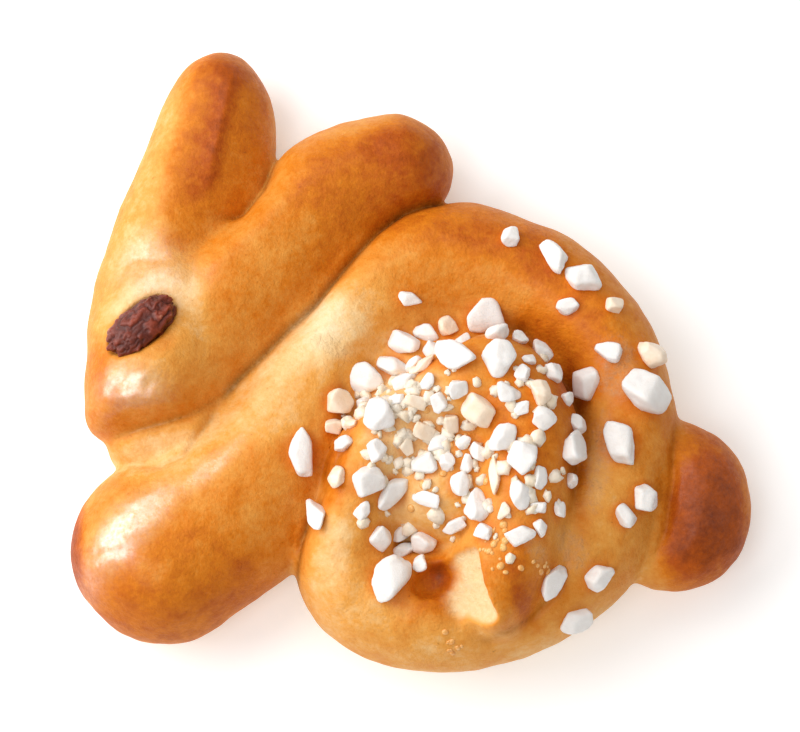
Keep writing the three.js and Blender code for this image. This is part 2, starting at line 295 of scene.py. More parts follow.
class Bench:
    """A material under construction."""

    def __init__(self, name: str) -> None:
        """Starts an empty material with a Principled shader."""
        self.material = bpy.data.materials.new(name)
        self.material.use_nodes = True
        self.tree = self.material.node_tree
        self.shader = self.tree.nodes["Principled BSDF"]
        self.place = self.node("ShaderNodeTexCoord", {}, {}, "Object")  # a point's own place in metres

    def node(
        self, kind: str, settings: dict[str, object], values: dict[int | str, object], output: int | str = 0
    ) -> Wire:
        """Adds a node.

        Args:
            kind: The node's type.
            settings: Its own settings, such as an operation, or the stops of a ramp, which are set first.
            values: A number, a colour or a Wire for each socket, by number or name.
            output: The output that is wanted.

        Returns:
            That output.
        """
        made = self.tree.nodes.new(kind)
        for key, value in settings.items():
            if key == "stops":
                self._set_stops(made.color_ramp, value)
            else:
                setattr(made, key, value)
        self._feed(made, values)
        return Wire(self, made.outputs[output])

    def _feed(self, made: bpy.types.Node, values: dict[int | str, object]) -> None:
        """Sets or links sockets of a node.

        Args:
            made: The node.
            values: A number, a colour or a Wire for each socket, by number or name.
        """
        for key, value in values.items():
            if isinstance(value, Wire):
                self.tree.links.new(value.socket, made.inputs[key])
            else:
                made.inputs[key].default_value = value

    @staticmethod
    def _set_stops(ramp: bpy.types.ColorRamp, stops: Ramp) -> None:
        """Gives a colour ramp its stops.

        Args:
            ramp: The ramp, with two stops of its own.
            stops: The places and colours, two or more.
        """
        while len(ramp.elements) < len(stops):
            ramp.elements.new(0.5)
        for element, (place, colour) in zip(ramp.elements, stops):
            element.position = place
            element.color = (*colour, 1.0)

    def value(self, name: str) -> Wire:
        """A number that is stored for each point of the piece."""
        return self.node("ShaderNodeAttribute", {"attribute_name": name}, {}, "Fac")

    def noise(self, size: float, detail: float = 3.0, rough: float = 0.55) -> Wire:
        """Noise from -0.5 to 0.5 whose patches are about size millimetres across."""
        values = {"Vector": self.place, "Scale": 1.0 / (size * MM), "Detail": detail, "Roughness": rough}
        return self.node("ShaderNodeTexNoise", {}, values) - 0.5

    def ramp(self, level: Wire, stops: Ramp) -> Wire:
        """A colour between stops."""
        return self.node("ShaderNodeValToRGB", {"stops": stops}, {0: level})

    def mix(self, share: Wire, first: Wire | Triple, second: Wire | Triple) -> Wire:
        """The first colour where share is 0 and the second where it is 1."""
        below, above = (side if isinstance(side, Wire) else (*side, 1.0) for side in (first, second))
        return self.node("ShaderNodeMix", {"data_type": "RGBA"}, {0: share, 6: below, 7: above}, 2)

    def bump(self, height: Wire, depth: float) -> None:
        """Feeds a height, times a depth in millimetres, to the shader's normal."""
        values = {"Height": height, "Distance": depth * MM, "Strength": 1.0}
        self._feed(self.shader, {"Normal": self.node("ShaderNodeBump", {}, values)})

    def finish(self, values: dict[str, object]) -> bpy.types.Material:
        """Sets the shader's sockets and gives the material."""
        self._feed(self.shader, values)
        return self.material


def linear(red: int, green: int, blue: int) -> Triple:
    """A colour given as on a screen, from 0 to 255, in the linear values that a shader takes."""
    share = np.array([red, green, blue]) / 255.0
    return tuple(np.where(share <= 0.04045, share / 12.92, ((share + 0.055) / 1.055) ** 2.4).tolist())


@dataclass(frozen=True)
class CrustFinish:
    """Egg-washed crust, from pale stretched dough to deep brown, by the values stored on the piece."""

    stops: Ramp = (  # the crust's colour at levels of baking
        (0.0, linear(242, 220, 182)),
        (0.2, linear(236, 194, 134)),
        (0.4, linear(226, 156, 70)),
        (0.6, linear(211, 120, 23)),
        (0.8, linear(174, 79, 10)),
        (1.0, linear(116, 45, 5)),
    )
    caramel: Triple = linear(206, 100, 14)  # melted sugar on the crust
    crease_shade_and_flecks: Triple = linear(104, 58, 16)  # painted shade at the bottoms of narrow creases, the valley and the pit, and the colour of dark specks
    # open crumb: paler where its bump stands high, and darker where it sinks, partly as painted shade in its
    # pits
    crumb: tuple[Triple, Triple] = (linear(240, 216, 172), linear(224, 180, 120))
    roughness: float = 0.5  # how dull it is on the whole
    wash: Pair = (0.28, 2.9)  # how dull the glaze of egg is, and how strongly it bends light

    def material(self) -> bpy.types.Material:
        """Builds the material.

        Returns:
            The material, for a piece that stores bake, wet, crumb, torn, line and gloss.
        """
        bench = Bench("crust")
        patches = bench.noise(6.0)
        blotches = bench.noise(2.2, 3.0, 0.6)
        mottle = bench.noise(0.9, 4.0, 0.7)
        level = bench.value("bake") + patches * 0.26 + blotches * 0.26 + mottle * 0.24
        colour = bench.ramp(level.clamped(), self.stops)
        wet = bench.value("wet")
        colour = bench.mix((wet + patches * 0.3).clamped() * 0.7, colour, self.caramel)
        bare = (bench.value("crumb") + mottle * 0.25).rise(0.15, 0.85)
        torn = (bench.value("torn") + mottle * 0.9).rise(0.2, 0.75)
        # the crumb is darker where its bump sinks: partly painted shade in its pits
        crumb = bench.mix((0.4 - mottle * 1.4).clamped(), *self.crumb)
        colour = bench.mix(bare * 0.9, bench.mix(torn * 0.3, colour, crumb), crumb)
        # painted shade: line darkens the bottoms of creases, the valley and the pit towards
        # crease_shade_and_flecks, and specks add dark flecks
        specks = bench.noise(0.9, 2.0).rise(0.22, 0.3) * 0.4
        line = bench.value("line")
        dark = (line + mottle * line + specks * (1.0 - bare)).clamped()
        colour = bench.mix(dark * 0.8, colour, self.crease_shade_and_flecks)
        pits = bench.noise(0.5, 3.0, 0.65)
        grain = bench.noise(1.7, 4.0, 0.6)
        bench.bump(pits * 0.6 + grain * 0.8 + mottle * (bare + torn * 2.0), 0.28)
        glints = bench.noise(0.7, 3.0, 0.7)
        shine = bench.value("gloss") * (0.85 + glints * 2.0 + patches * 0.6) * (1.0 - bare)
        return bench.finish(
            {
                "Base Color": colour,
                "Roughness": self.roughness + mottle * 0.3 - wet * 0.12 + (bare + torn) * 0.25,
                "Coat Weight": shine.clamped(),
                "Coat Roughness": self.wash[0],
                "Coat IOR": self.wash[1],
                "Specular IOR Level": 0.1,
            }
        )


@dataclass(frozen=True)
class SugarFinish:
    """Pressed sugar: chalky grains with a fine grit, or soaked ones that have gone creamy."""

    name: str
    colour: Triple
    tint: Triple  # a second colour, mixed in by random patches
    roughness: float

    def material(self) -> bpy.types.Material:
        """Builds the material.

        Returns:
            The material.
        """
        bench = Bench(self.name)
        patches = bench.noise(1.8)
        grit = bench.noise(0.25, 2.0)
        bench.bump(grit + patches * 0.6, 0.07)
        colour = bench.mix((0.5 + patches * 1.6).clamped(), self.colour, self.tint)
        return bench.finish(
            {
                "Base Color": colour,
                "Roughness": self.roughness + grit * 0.3,
                "Subsurface Weight": 0.25,
                "Subsurface Radius": (1.0, 0.9, 0.8),
                "Subsurface Scale": 0.8 * MM,
            }
        )


class Sugar(Enum):
    """The two kinds of pearl sugar, by their finishes: dry and white, or soaked and creamy."""

    WHITE = SugarFinish("white_sugar", linear(244, 241, 238), linear(232, 226, 221), 0.5)
    SOAKED = SugarFinish("soaked_sugar", linear(247, 232, 214), linear(240, 214, 184), 0.42)


@dataclass(frozen=True)
class SyrupFinish:
    """Sugar that melted and set: clear amber, shiny."""

    amber: Triple = linear(222, 148, 66)
    pale: Triple = linear(240, 192, 122)

    def material(self) -> bpy.types.Material:
        """Builds the material.

        Returns:
            The material.
        """
        bench = Bench("set_syrup")
        cloud = bench.noise(1.2)
        colour = bench.mix((0.4 + cloud * 2.0).clamped(), self.amber, self.pale)
        return bench.finish({"Base Color": colour, "Roughness": 0.16 + cloud * 0.1})


@dataclass(frozen=True)
class RaisinFinish:
    """Dried grape: dark red-brown skin, darker in its crevices partly as painted shade, with paler folds
    that carry a painted highlight on their tops.
    """

    # deep lies in the crevices, partly as painted shade; ridge_highlight is a painted highlight on the
    # folds' tops
    deep: Triple = linear(72, 20, 8)
    fold: Triple = linear(142, 54, 26)
    ridge_highlight: Triple = linear(206, 140, 112)

    def material(self) -> bpy.types.Material:
        """Builds the material.

        Returns:
            The material, for a piece that stores ridge.
        """
        bench = Bench("raisin")
        ridge = bench.value("ridge")
        speckle = bench.noise(0.5, 4.0, 0.7)
        colour = bench.mix((ridge + speckle * 0.5).clamped(), self.deep, self.fold)
        # painted highlight on the tops of the folds
        highlit = (ridge * 0.8 + bench.noise(0.9) * 1.4).rise(0.75, 1.2)
        colour = bench.mix(highlit, colour, self.ridge_highlight)
        bench.bump(speckle + bench.noise(0.2, 2.0) * 0.4, 0.12)
        sheen = {"Coat Weight": 0.15, "Specular IOR Level": 0.35}
        return bench.finish({"Base Color": colour, "Roughness": 0.36 + speckle * 0.3, **sheen})


@dataclass(frozen=True)
class Strand:
    """A rolled strand of dough: an ellipse carried along a walk over the tray."""

    start: Pair  # where the walk starts
    heading: float  # which way it heads, in degrees from +X
    legs: tuple[Pair, ...]  # its stretches as (length, turn in degrees), each straight or an arc
    left: Stops  # its width to the left of the walk, as stops along it
    middle: Stops  # the height of its middle, as stops along the walk
    half_height: Stops  # its half height, as stops along the walk
    caps: Pair  # the lengths of the rounded ends, inside the walk
    right: Stops = ()  # its width to the right, where that differs

    SIDES = 72  # points in a row round it
    STEP = 0.8  # from row to row
    CAP_ROWS = 22  # rows on a rounded end

    @property
    def length(self) -> float:
        """The walk's length."""
        return sum(length for length, _ in self.legs)

    def walk(self, distance: np.ndarray) -> tuple[np.ndarray, np.ndarray, np.ndarray]:
        """The places and headings on the walk.

        Each leg adds a chord of its arc: the length walked on it, times sin(h)/h with h half the turn so
        far, along the heading at the chord's middle.

        Args:
            distance: How far along the walk, as an array.

        Returns:
            x, y and the heading in radians, each an array.
        """
        x = np.full_like(distance, self.start[0])
        y = np.full_like(distance, self.start[1])
        heading = np.full_like(distance, math.radians(self.heading))
        rest = distance.copy()
        for length, turn in self.legs:
            walked = np.clip(rest, 0.0, length)
            half = math.radians(turn) * walked / length / 2.0
            chord = walked * np.sinc(half / np.pi)
            x += chord * np.cos(heading + half)
            y += chord * np.sin(heading + half)
            heading += 2.0 * half
            rest -= walked
        return x, y, heading

    def surface(self) -> tuple[np.ndarray, Faces]:
        """The strand's skin, flat where it lies on the tray.

        With d the distance along the walk and a the angle round it, a point lies sin(a) times the half
        width to the walk's right and cos(a) times the half height over its middle. Both shrink on the
        rounded ends as a quarter circle does, and what is under the tray's level is lifted to it.

        Returns:
            The points and the faces.
        """
        quarter = np.arange(1, self.CAP_ROWS) / self.CAP_ROWS * np.pi / 2.0
        inward = 1.0 - np.cos(quarter)
        steps = max(2, round((self.length - sum(self.caps)) / self.STEP))
        straight = np.linspace(self.caps[0], self.length - self.caps[1], steps + 1)
        last = (self.length - self.caps[1] * inward)[::-1]
        distance = np.concatenate([self.caps[0] * inward, straight, last])
        swell = np.concatenate([np.sin(quarter), np.ones(steps + 1), np.sin(quarter)[::-1]])
        x, y, heading = (value[:, None] for value in self.walk(distance))
        angle = np.linspace(0.0, 2.0 * np.pi, self.SIDES, endpoint=False)[None, :]
        left, right = (between(stops, distance)[:, None] for stops in (self.left, self.right or self.left))
        side = np.sin(angle) * swell[:, None] * np.where(np.sin(angle) > 0.0, right, left)
        rise = np.cos(angle) * (swell * between(self.half_height, distance))[:, None]
        z = between(self.middle, distance)[:, None] + rise
        rows = np.stack([x + side * np.sin(heading), y - side * np.cos(heading), z], axis=-1)
        tips = np.array([0.0, self.length])
        ends = np.stack([*self.walk(tips)[:2], between(self.middle, tips)], axis=-1)
        places = np.concatenate([ends[:1], rows.reshape(-1, 3), ends[1:]])
        places[:, 2] = np.maximum(places[:, 2], 0.0)
        return places, tube_faces(len(distance), self.SIDES)


STRANDS: dict[str, Strand] = {
    "body": Strand(
        start=(-51.7, -39.6), heading=38,
        legs=((29, 0), (14, 26), (15, 0), (75, -169), (48, -84), (11.5, -73.4)),
        left=(
            (0, 15.2), (15, 15.2), (24, 12.8), (40, 11.2), (50, 9.4), (61, 6.1), (67, 6.3), (79, 10.6),
            (86, 11.4), (96, 9.6), (120, 8.4), (138, 10), (150, 11.7), (172, 10.9), (190, 8.8),
        ),
        right=(
            (0, 15.2), (16, 15.2), (28, 15.6), (40, 12.4), (53, 10.2), (78, 11.6), (96, 10), (120, 8.8),
            (150, 11.5), (172, 10.4), (190, 9.2),
        ),
        middle=((0, 8.5),), half_height=((0, 13.5), (48, 12)), caps=(15, 6),
    ),
    "coil": Strand(
        start=(-2.9, -39.1), heading=171,
        legs=((13, -83), (8, -14), (16, -38), (11, -36), (6, -48), (9, -44), (14, -14), (15, -32)),
        left=((0, 9.9), (9, 8.8), (20, 5), (27, 5.6), (38, 4.8), (45, 6.6), (50, 9.4), (57, 9.2), (67, 7.4)),
        right=((0, 9.8), (9, 9.2), (22, 8.8), (44, 9.6), (64, 8.8)),
        middle=((1, 8.5), (27, 14), (50, 18), (69, 18), (92, 16.5)),
        half_height=((0, 12), (59, 11.5), (92, 9.5)), caps=(6, 3),
    ),
    "bed": Strand((-20, -12), 0, ((53, 0),), ((0, 29),), ((0, 6),), ((0, 12),), (24, 24)),
    "heart": Strand((2.5, -31), 70, ((23, 0),), ((0, 11),), ((0, 13),), ((0, 12),), (8, 8)),
    "head": Strand(
        start=(-44.6, -12.7), heading=101, legs=((12, -31), (27, 0)),
        left=((0, 9.8), (5, 8.3), (9, 9.4), (15, 11.6), (28, 13), (39, 10)),
        right=((0, 12.4), (4, 13.8), (14, 16), (24, 15), (39, 10)), middle=((0, 9),),
        half_height=((0, 12.5), (12, 15), (39, 10)), caps=(5, 14),
    ),
    "left_ear": Strand(
        start=(-45, -3.5), heading=82, legs=((33, -9), (27.5, 3)),
        left=((0, 10.1), (18, 10.8), (42, 9.5), (60.5, 7.6)),
        right=((0, 9.6), (24, 10.6), (36, 12.4), (43, 12), (60.5, 7.6)), middle=((0, 8),),
        half_height=((0, 12.5), (60, 10)), caps=(8, 9),
    ),
    "right_ear": Strand(
        start=(-40.8, -5.4), heading=68, legs=((29, -22), (12, -2), (14, -36), (11.5, -8)),
        left=((0, 10), (20, 9.8), (30, 6.9), (36, 7.5), (44, 10.5), (56, 10.6), (66.5, 9)),
        right=((0, 10.2), (14, 13.1), (28, 14.5), (40, 13), (52, 11), (60, 9.7), (66.5, 9.2)),
        middle=((0, 8.5),), half_height=((0, 13), (67, 11.5)), caps=(9, 9.5),
    ),
    "neck": Strand((-37, -14), 49, ((36, -3), (14, 4)), ((0, 9.5),), ((0, 2),), ((0, 13.5),), (6, 6)),
    "chin": Strand(
        start=(-50, -13), heading=-2, legs=((20.4, 27),), left=((0, 5),), right=((0, 5), (8, 6.2)),
        middle=((0, 7),), half_height=((0, 9), (20, 10.5)), caps=(6, 5),
    ),
    "tail": Strand(
        start=(29.5, -23), heading=0, legs=((26.2, 0),), left=((0, 14),), middle=((0, 7.5),),
        half_height=((0, 6), (10, 7.6), (17, 10)), caps=(13, 13),
    ),
}


@dataclass
class Skin:
    """The points of a mesh with their links, for relaxing and pressing whole arrays of them."""

    places: np.ndarray  # the points in millimetres, one to a row
    faces: np.ndarray  # the four points' numbers of each face
    links: np.ndarray  # the pairs of linked points, one to a row
    degree: np.ndarray = field(init=False)  # how many links each point has

    def __post_init__(self) -> None:
        """Counts each point's links."""
        self.degree = np.bincount(self.links.ravel(), minlength=len(self.places)).astype(float)

    def average(self, values: np.ndarray) -> np.ndarray:
        """The mean of each point's neighbours.

        Args:
            values: One or more columns, with a row for each point.

        Returns:
            The means, in the same shape.
        """
        first, second = self.links.T
        count = len(self.places)
        columns = values.reshape(count, -1).T
        sums = [
            np.bincount(first, column[second], count) + np.bincount(second, column[first], count)
            for column in columns
        ]
        return (np.stack(sums, axis=-1) / self.degree[:, None]).reshape(values.shape)

    def spread(self, values: np.ndarray, times: int) -> np.ndarray:
        """Blurs values over the skin, each time halfway to the neighbours' mean.

        Args:
            values: One or more columns, with a row for each point.
            times: How often.

        Returns:
            The blurred values.
        """
        for _ in range(times):
            values = 0.5 * values + 0.5 * self.average(values)
        return values

    def relax(self, share: np.ndarray | float, times: int) -> None:
        """Moves each point towards its neighbours' mean.

        Args:
            share: The share of the way, for all of the points or for each.
            times: How often.
        """
        share = np.broadcast_to(np.asarray(share, float), (len(self.places),))[:, None]
        for _ in range(times):
            self.places = self.places + share * (self.average(self.places) - self.places)

    def push(self, distance: np.ndarray, along: np.ndarray) -> None:
        """Moves each point by its distance along its own direction, or along one for all."""
        self.places = self.places + distance[:, None] * along

    def relief(self, times: int) -> np.ndarray:
        """How far each point stands out from the skin when that is blurred a number of times."""
        return dot(self.places - self.spread(self.places, times), self.normals())

    def normals(self) -> np.ndarray:
        """The points' normals: the means of the cross products of their quads' diagonals.

        Returns:
            The normals, one to a row.
        """
        corners = self.places[self.faces]
        cross = np.cross(corners[:, 2] - corners[:, 0], corners[:, 3] - corners[:, 1])
        sums = [np.bincount(self.faces.ravel(), np.repeat(part, 4), len(self.places)) for part in cross.T]
        total = np.stack(sums, axis=-1)
        return total / np.maximum(np.linalg.norm(total, axis=1, keepdims=True), 1e-12)


@dataclass(frozen=True)
class Stroke:
    """A crease or a ridge in the crust along a line seen from above."""

    line: tuple[Pair, ...]
    width: float  # how far to each side it reaches
    depth: float  # how deep it is, or less than 0 for a ridge
    fade: float = 0.12  # the share of its length over which it fades in and out
    dark: float = 0.0  # how dark its bottom is painted, mostly as shade in the crease, where 0 is as the rest and 1 is the darkest

    def reach(self, places: np.ndarray, width: float) -> np.ndarray:
        """How strongly the stroke works when it reaches this far to each side.

        It is the square of the share of the width that is left, times 0.15 at the ends and 1 between them.

        Args:
            places: Points, one to a row.
            width: How far to each side it reaches here.

        Returns:
            The strength at each place, from 0 to 1.
        """
        gap, share = distance_to_line(places, np.array(self.line, float))
        ends = smoothstep(0.0, self.fade, share) * (1.0 - smoothstep(1.0 - self.fade, 1.0, share))
        return np.clip(1.0 - gap / width, 0.0, 1.0) ** 2.0 * (0.15 + 0.85 * ends)


@dataclass(frozen=True)
class Tone:
    """A stretch of crust that differs from the rest: a soft ellipse seen from above."""

    at: Pair
    reach: Pair  # its half sizes
    turn: float  # degrees from +X to its first half size
    level: float  # the level of baking there, or how torn, glossy or eased the crust is, from 0 to 1
    weight: float = 3.0  # how strongly it holds against its neighbours

    def hold(self, places: np.ndarray) -> np.ndarray:
        """How strongly it works at each place: 1 in the middle, and 1/e at its half sizes."""
        local = (places[:, :2] - self.at) @ turned(self.turn).T / self.reach
        return np.exp(-dot(local, local))


def tones(*rows: tuple[float, ...]) -> tuple[Tone, ...]:
    """Tones from rows of x, y, two half sizes, turn, level and, where it isn't the usual one, weight."""
    return tuple(Tone(row[:2], row[2:4], *row[4:]) for row in rows)


@dataclass(frozen=True)
class TipCut:
    """The slanted face where the knife cut the strand's tip."""

    at: Triple = (12.6, -40.0, 24.6)  # the middle of its upper edge
    slope: float = 45.0  # degrees from level to the face
    turn: float = 16.0  # degrees from +X to the way in which it rises
    length: float = 17.0  # the length of its upper edge
    reach: float = 8.6  # how far down it goes from there
    bowl: float = 0.5  # how deep the face sank in
    over: float = 15.0  # what is lower than this isn't cut


@dataclass(frozen=True)
class Hollow:
    """The hollow beside the tip: a ball squeezed to three half sizes that no bread is inside."""

    at: Triple = (3.4, -36.8, 20.2)
    turn: float = 30.0  # degrees from +X to its first half size
    half_size: Triple = (3.8, 3.0, 3.8)


@dataclass(frozen=True)
class EyeSocket:
    """The hollow that the raisin pressed into the head."""

    at: Pair = (-43.1, 3.7)
    turn: float = 43.0  # degrees from +X to its long side
    half_size: Triple = (6.5, 3.5, 2.7)  # the raisin's half sizes
    bowl: Pair = (9.4, 6.2)  # the bowl's half sizes, seen from above
    depth: float = 0.9  # how deep the bowl is at the raisin's edge
    well: float = 1.7  # how deep the crust is pressed under the raisin

    def radius(self, places: np.ndarray, size: Pair) -> np.ndarray:
        """How far out places lie, seen from above, where 1 is the edge of an ellipse of this size."""
        local = (places[:, :2] - self.at) @ turned(self.turn).T
        return np.hypot(local[:, 0] / size[0], local[:, 1] / size[1])


@dataclass
class Loaf:
    """The bread: all the strands grown together into one skin."""

    strands: dict[str, Strand]
    socket: EyeSocket
    cut: TipCut
    hollow: Hollow
    strokes: tuple[Stroke, ...]  # creases and ridges that show besides those between the strands
    tones: tuple[Tone, ...]  # where the crust baked lighter or darker, with a few painted highlights and painted shade among them
    torn: tuple[Tone, ...]  # where it tore open and its crumb shows, and on the rump partly painted shade
    gloss: tuple[Tone, ...]  # where the egg wash is thick
    finish: CrustFinish
    skin: Skin = field(init=False)  # the joined strands, which are then pressed
    crumb: np.ndarray = field(init=False)  # how far the knife bared each point, from 0 to 1
    ragged: np.ndarray = field(init=False)  # how torn each point is, from 0 to 1
    piece: bpy.types.Object = field(init=False)
    crust: BVHTree = field(init=False)  # the pressed skin as a tree, for dropping things on it

    VOXEL = 0.56  # side of the cells that the strands are joined in
    LYING = 0.3  # what is lower lies on the tray and isn't relaxed
    FILL = 0.3  # the share of a valley's depth that is filled
    TIP_REACH = 11.0  # how far round the tip the valleys stay open
    UNEVEN = ((3, 14.0, 0.35), (11, 4.0, 0.10))  # the crust's bumps as (seed, width, height)
    RAGGED = 0.18  # how high torn crumb stands up
    BLISTERED = 0.08  # how high the blisters in thick glaze are
    SMOOTHED = 2.0  # how far the skin is relaxed round a stroke, in widths of the stroke
    SHADE_REACH = 0.7  # how far a stroke's painted shade reaches, in widths of it
    PLATEAU = 1.6  # how much a tone is raised before its top is cut flat
    SHEEN = 0.03  # the glaze where it is thin
    BAKED = (0.28, 0.20, 0.10)  # the level of baking on low ground, and what height and ridges add
    FOOT = 0.4  # the share of it that is left by the tray
    EASED = tones((-54.2, 0, 3, 7, 0, 0.5))  # where two strands meet without a step
    OVER = 100.0  # a height over all of the bread

    def build(self) -> bpy.types.Object:
        """Joins, presses and dresses the bread.

        Returns:
            The dressed piece.
        """
        self.skin = self._joined()
        self._press()
        faces = list(map(tuple, self.skin.faces.tolist()))
        self.crust = BVHTree.FromPolygons(self.skin.places.tolist(), faces)
        self.piece = new_piece("bread", self.skin.places, faces, self.finish.material())
        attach(self.piece, "root")
        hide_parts("bun")
        return self.piece

    def seat(self, at: Pair) -> tuple[np.ndarray, np.ndarray, np.ndarray]:
        """Where a thing that is dropped on the bread lands.

        Args:
            at: Its place, seen from above.

        Returns:
            The point on the crust, the crust's normal there, and the rotation from upright to that normal.
        """
        hit, normal, _, _ = self.crust.ray_cast(Vector((*at, self.OVER)), Vector((0.0, 0.0, -1.0)))
        lean = Vector((0.0, 0.0, 1.0)).rotation_difference(normal).to_matrix()
        return np.array(hit), np.array(normal), np.array(lean)

    def _joined(self) -> Skin:
        """Joins all the strands on a lattice of small cells.

        Returns:
            One closed skin of quads.
        """
        places, faces, count = [], [], 0
        for strand in self.strands.values():
            strand_places, strand_faces = strand.surface()
            places.append(strand_places)
            faces += [tuple(corner + count for corner in face) for face in strand_faces]
            count += len(strand_places)
        mesh = bpy.data.meshes.new("strands")
        mesh.from_pydata(np.concatenate(places).tolist(), [], faces)
        rough = linked("strands", mesh)
        grow = rough.modifiers.new("grow together", "REMESH")
        grow.mode = "VOXEL"
        grow.voxel_size = self.VOXEL
        done = bpy.data.meshes.new_from_object(rough.evaluated_get(bpy.context.evaluated_depsgraph_get()))
        bpy.data.objects.remove(rough)
        bpy.data.meshes.remove(mesh)
        skin = self._skin_of(done)
        bpy.data.meshes.remove(done)
        return skin

    @staticmethod
    def _skin_of(mesh: bpy.types.Mesh) -> Skin:
        """Reads a mesh into arrays.

        Args:
            mesh: A mesh of quads.

        Returns:
            Its points, faces and edges.
        """
        places = np.empty(len(mesh.vertices) * 3)
        mesh.vertices.foreach_get("co", places)
        faces = np.empty(len(mesh.loops), int)
        mesh.loops.foreach_get("vertex_index", faces)
        links = np.empty(len(mesh.edges) * 2, int)
        mesh.edges.foreach_get("vertices", links)
        return Skin(places.reshape(-1, 3), faces.reshape(-1, 4), links.reshape(-1, 2))

    def _press(self) -> None:
        """Gives the skin its relief: soft creases, an uneven crust, the socket, the cut and the folds.

        The bumps fade out towards the tray, and strokes and the socket towards steep sides. The skin is
        relaxed round each stroke before that is pressed in. Torn spots and the cut are ragged.
        """
        skin = self.skin
        loose = (skin.places[:, 2] >= self.LYING).astype(float)
        skin.relax(0.5 * loose, 5)
        self._fill_valleys()
        normals = skin.normals()
        free = smoothstep(0.5, 5.0, skin.places[:, 2])
        swell = sum(height * layered(seed, width, skin.places) for seed, width, height in self.UNEVEN)
        skin.push(swell * free, normals)
        top = smoothstep(0.1, 0.6, normals[:, 2])
        for stroke in self.strokes:
            near = stroke.reach(skin.places, self.SMOOTHED * stroke.width)
            skin.relax(0.6 * loose * np.sqrt(near), 6)
            skin.places[:, 2] -= stroke.depth * top * stroke.reach(skin.places, stroke.width)
        self._press_socket(top)
        self._press_hollow()
        self._cut_tip()
        self.ragged = self._strongest(self.torn)
        skin.relax(0.35 * loose, 1)
        skin.relax(self._strongest(self.EASED) * loose, 30)
        skin.relax(0.6 * skin.spread(self.crumb, 6), 5)
        rag = self.RAGGED * layered(21, 2.2, skin.places) * np.maximum(self.crumb, self.ragged)
        blisters = self.BLISTERED * layered(31, 1.5, skin.places, 2) * self._strongest(self.gloss)
        skin.push(rag + blisters, normals)

    def _strongest(self, spots: tuple[Tone, ...]) -> np.ndarray:
        """How strongly spots work at each point, with a flat middle to each spot.

        Args:
            spots: The spots.

        Returns:
            The highest level that any of them gives at each point.
        """
        places = self.skin.places
        held = [spot.level * np.minimum(1.0, self.PLATEAU * spot.hold(places)) for spot in spots]
        return np.max(held, axis=0)

    def _fill_valleys(self) -> None:
        """Lifts the bottoms of wide valleys part of the way to the blurred skin, as dough that rose."""
        skin = self.skin
        tip = np.exp(-((np.hypot(*(skin.places[:, :2] - self.cut.at[:2]).T) / self.TIP_REACH) ** 4))
        depth = np.maximum(-skin.relief(90), 0.0)
        lift = self.FILL * depth * smoothstep(3.0, 8.0, skin.places[:, 2]) * (1.0 - tip)
        skin.push(skin.spread(lift, 6), skin.normals())

    def _press_hollow(self) -> None:
        """Presses what is inside the hollow's ball straight down to the ball's lower half."""
        hollow = self.hollow
        local = self.skin.places - hollow.at
        local[:, :2] = local[:, :2] @ turned(hollow.turn).T
        local = local / hollow.half_size
        away = np.clip(1.0 - np.hypot(local[:, 0], local[:, 1]) ** 2, 0.0, 1.0)
        drop = np.maximum(local[:, 2] + np.sqrt(away), 0.0) * hollow.half_size[2] * (away > 0.0)
        self.skin.places[:, 2] -= drop * smoothstep(0.0, 0.25, away)

    def _press_socket(self, top: np.ndarray) -> None:
        """Presses the raisin's bowl, and a well inside it, into the top of the head.

        Args:
            top: How far each point faces up, from 0 to 1.
        """
        socket = self.socket
        outer = socket.radius(self.skin.places, socket.bowl)
        inner = socket.radius(self.skin.places, socket.half_size[:2])
        bowl = socket.depth * (1.0 - smoothstep(0.45, 1.25, outer))
        well = socket.well * (1.0 - smoothstep(0.86, 1.06, inner))
        self.skin.places[:, 2] -= (bowl + well) * top

    def _cut_tip(self) -> None:
        """Presses what lies over the knife's face down onto it, along the face's normal."""
        cut = self.cut
        angle = math.radians(cut.slope)
        ahead, aside = turned(cut.turn)
        across = np.array([*(math.cos(angle) * ahead), math.sin(angle)])
        outward = np.array([*(-math.sin(angle) * ahead), math.cos(angle)])
        local = self.skin.places - cut.at
        along = local @ across
        side = np.abs(local[:, :2] @ aside)
        half = cut.length / 2.0
        inside = smoothstep(-cut.reach - 1.0, -cut.reach + 1.0, along) * (1.0 - smoothstep(-0.5, 0.3, along))
        inside = inside * (1.0 - smoothstep(half - 1.0, half + 1.0, side))
        drop = np.maximum(local @ outward, 0.0) * inside * (self.skin.places[:, 2] > cut.over)
        bowl = cut.bowl * inside * smoothstep(0.2, 1.5, drop)
        self.skin.push(-(drop + bowl), outward)
        self.crumb = inside * smoothstep(0.1, 1.2, drop)

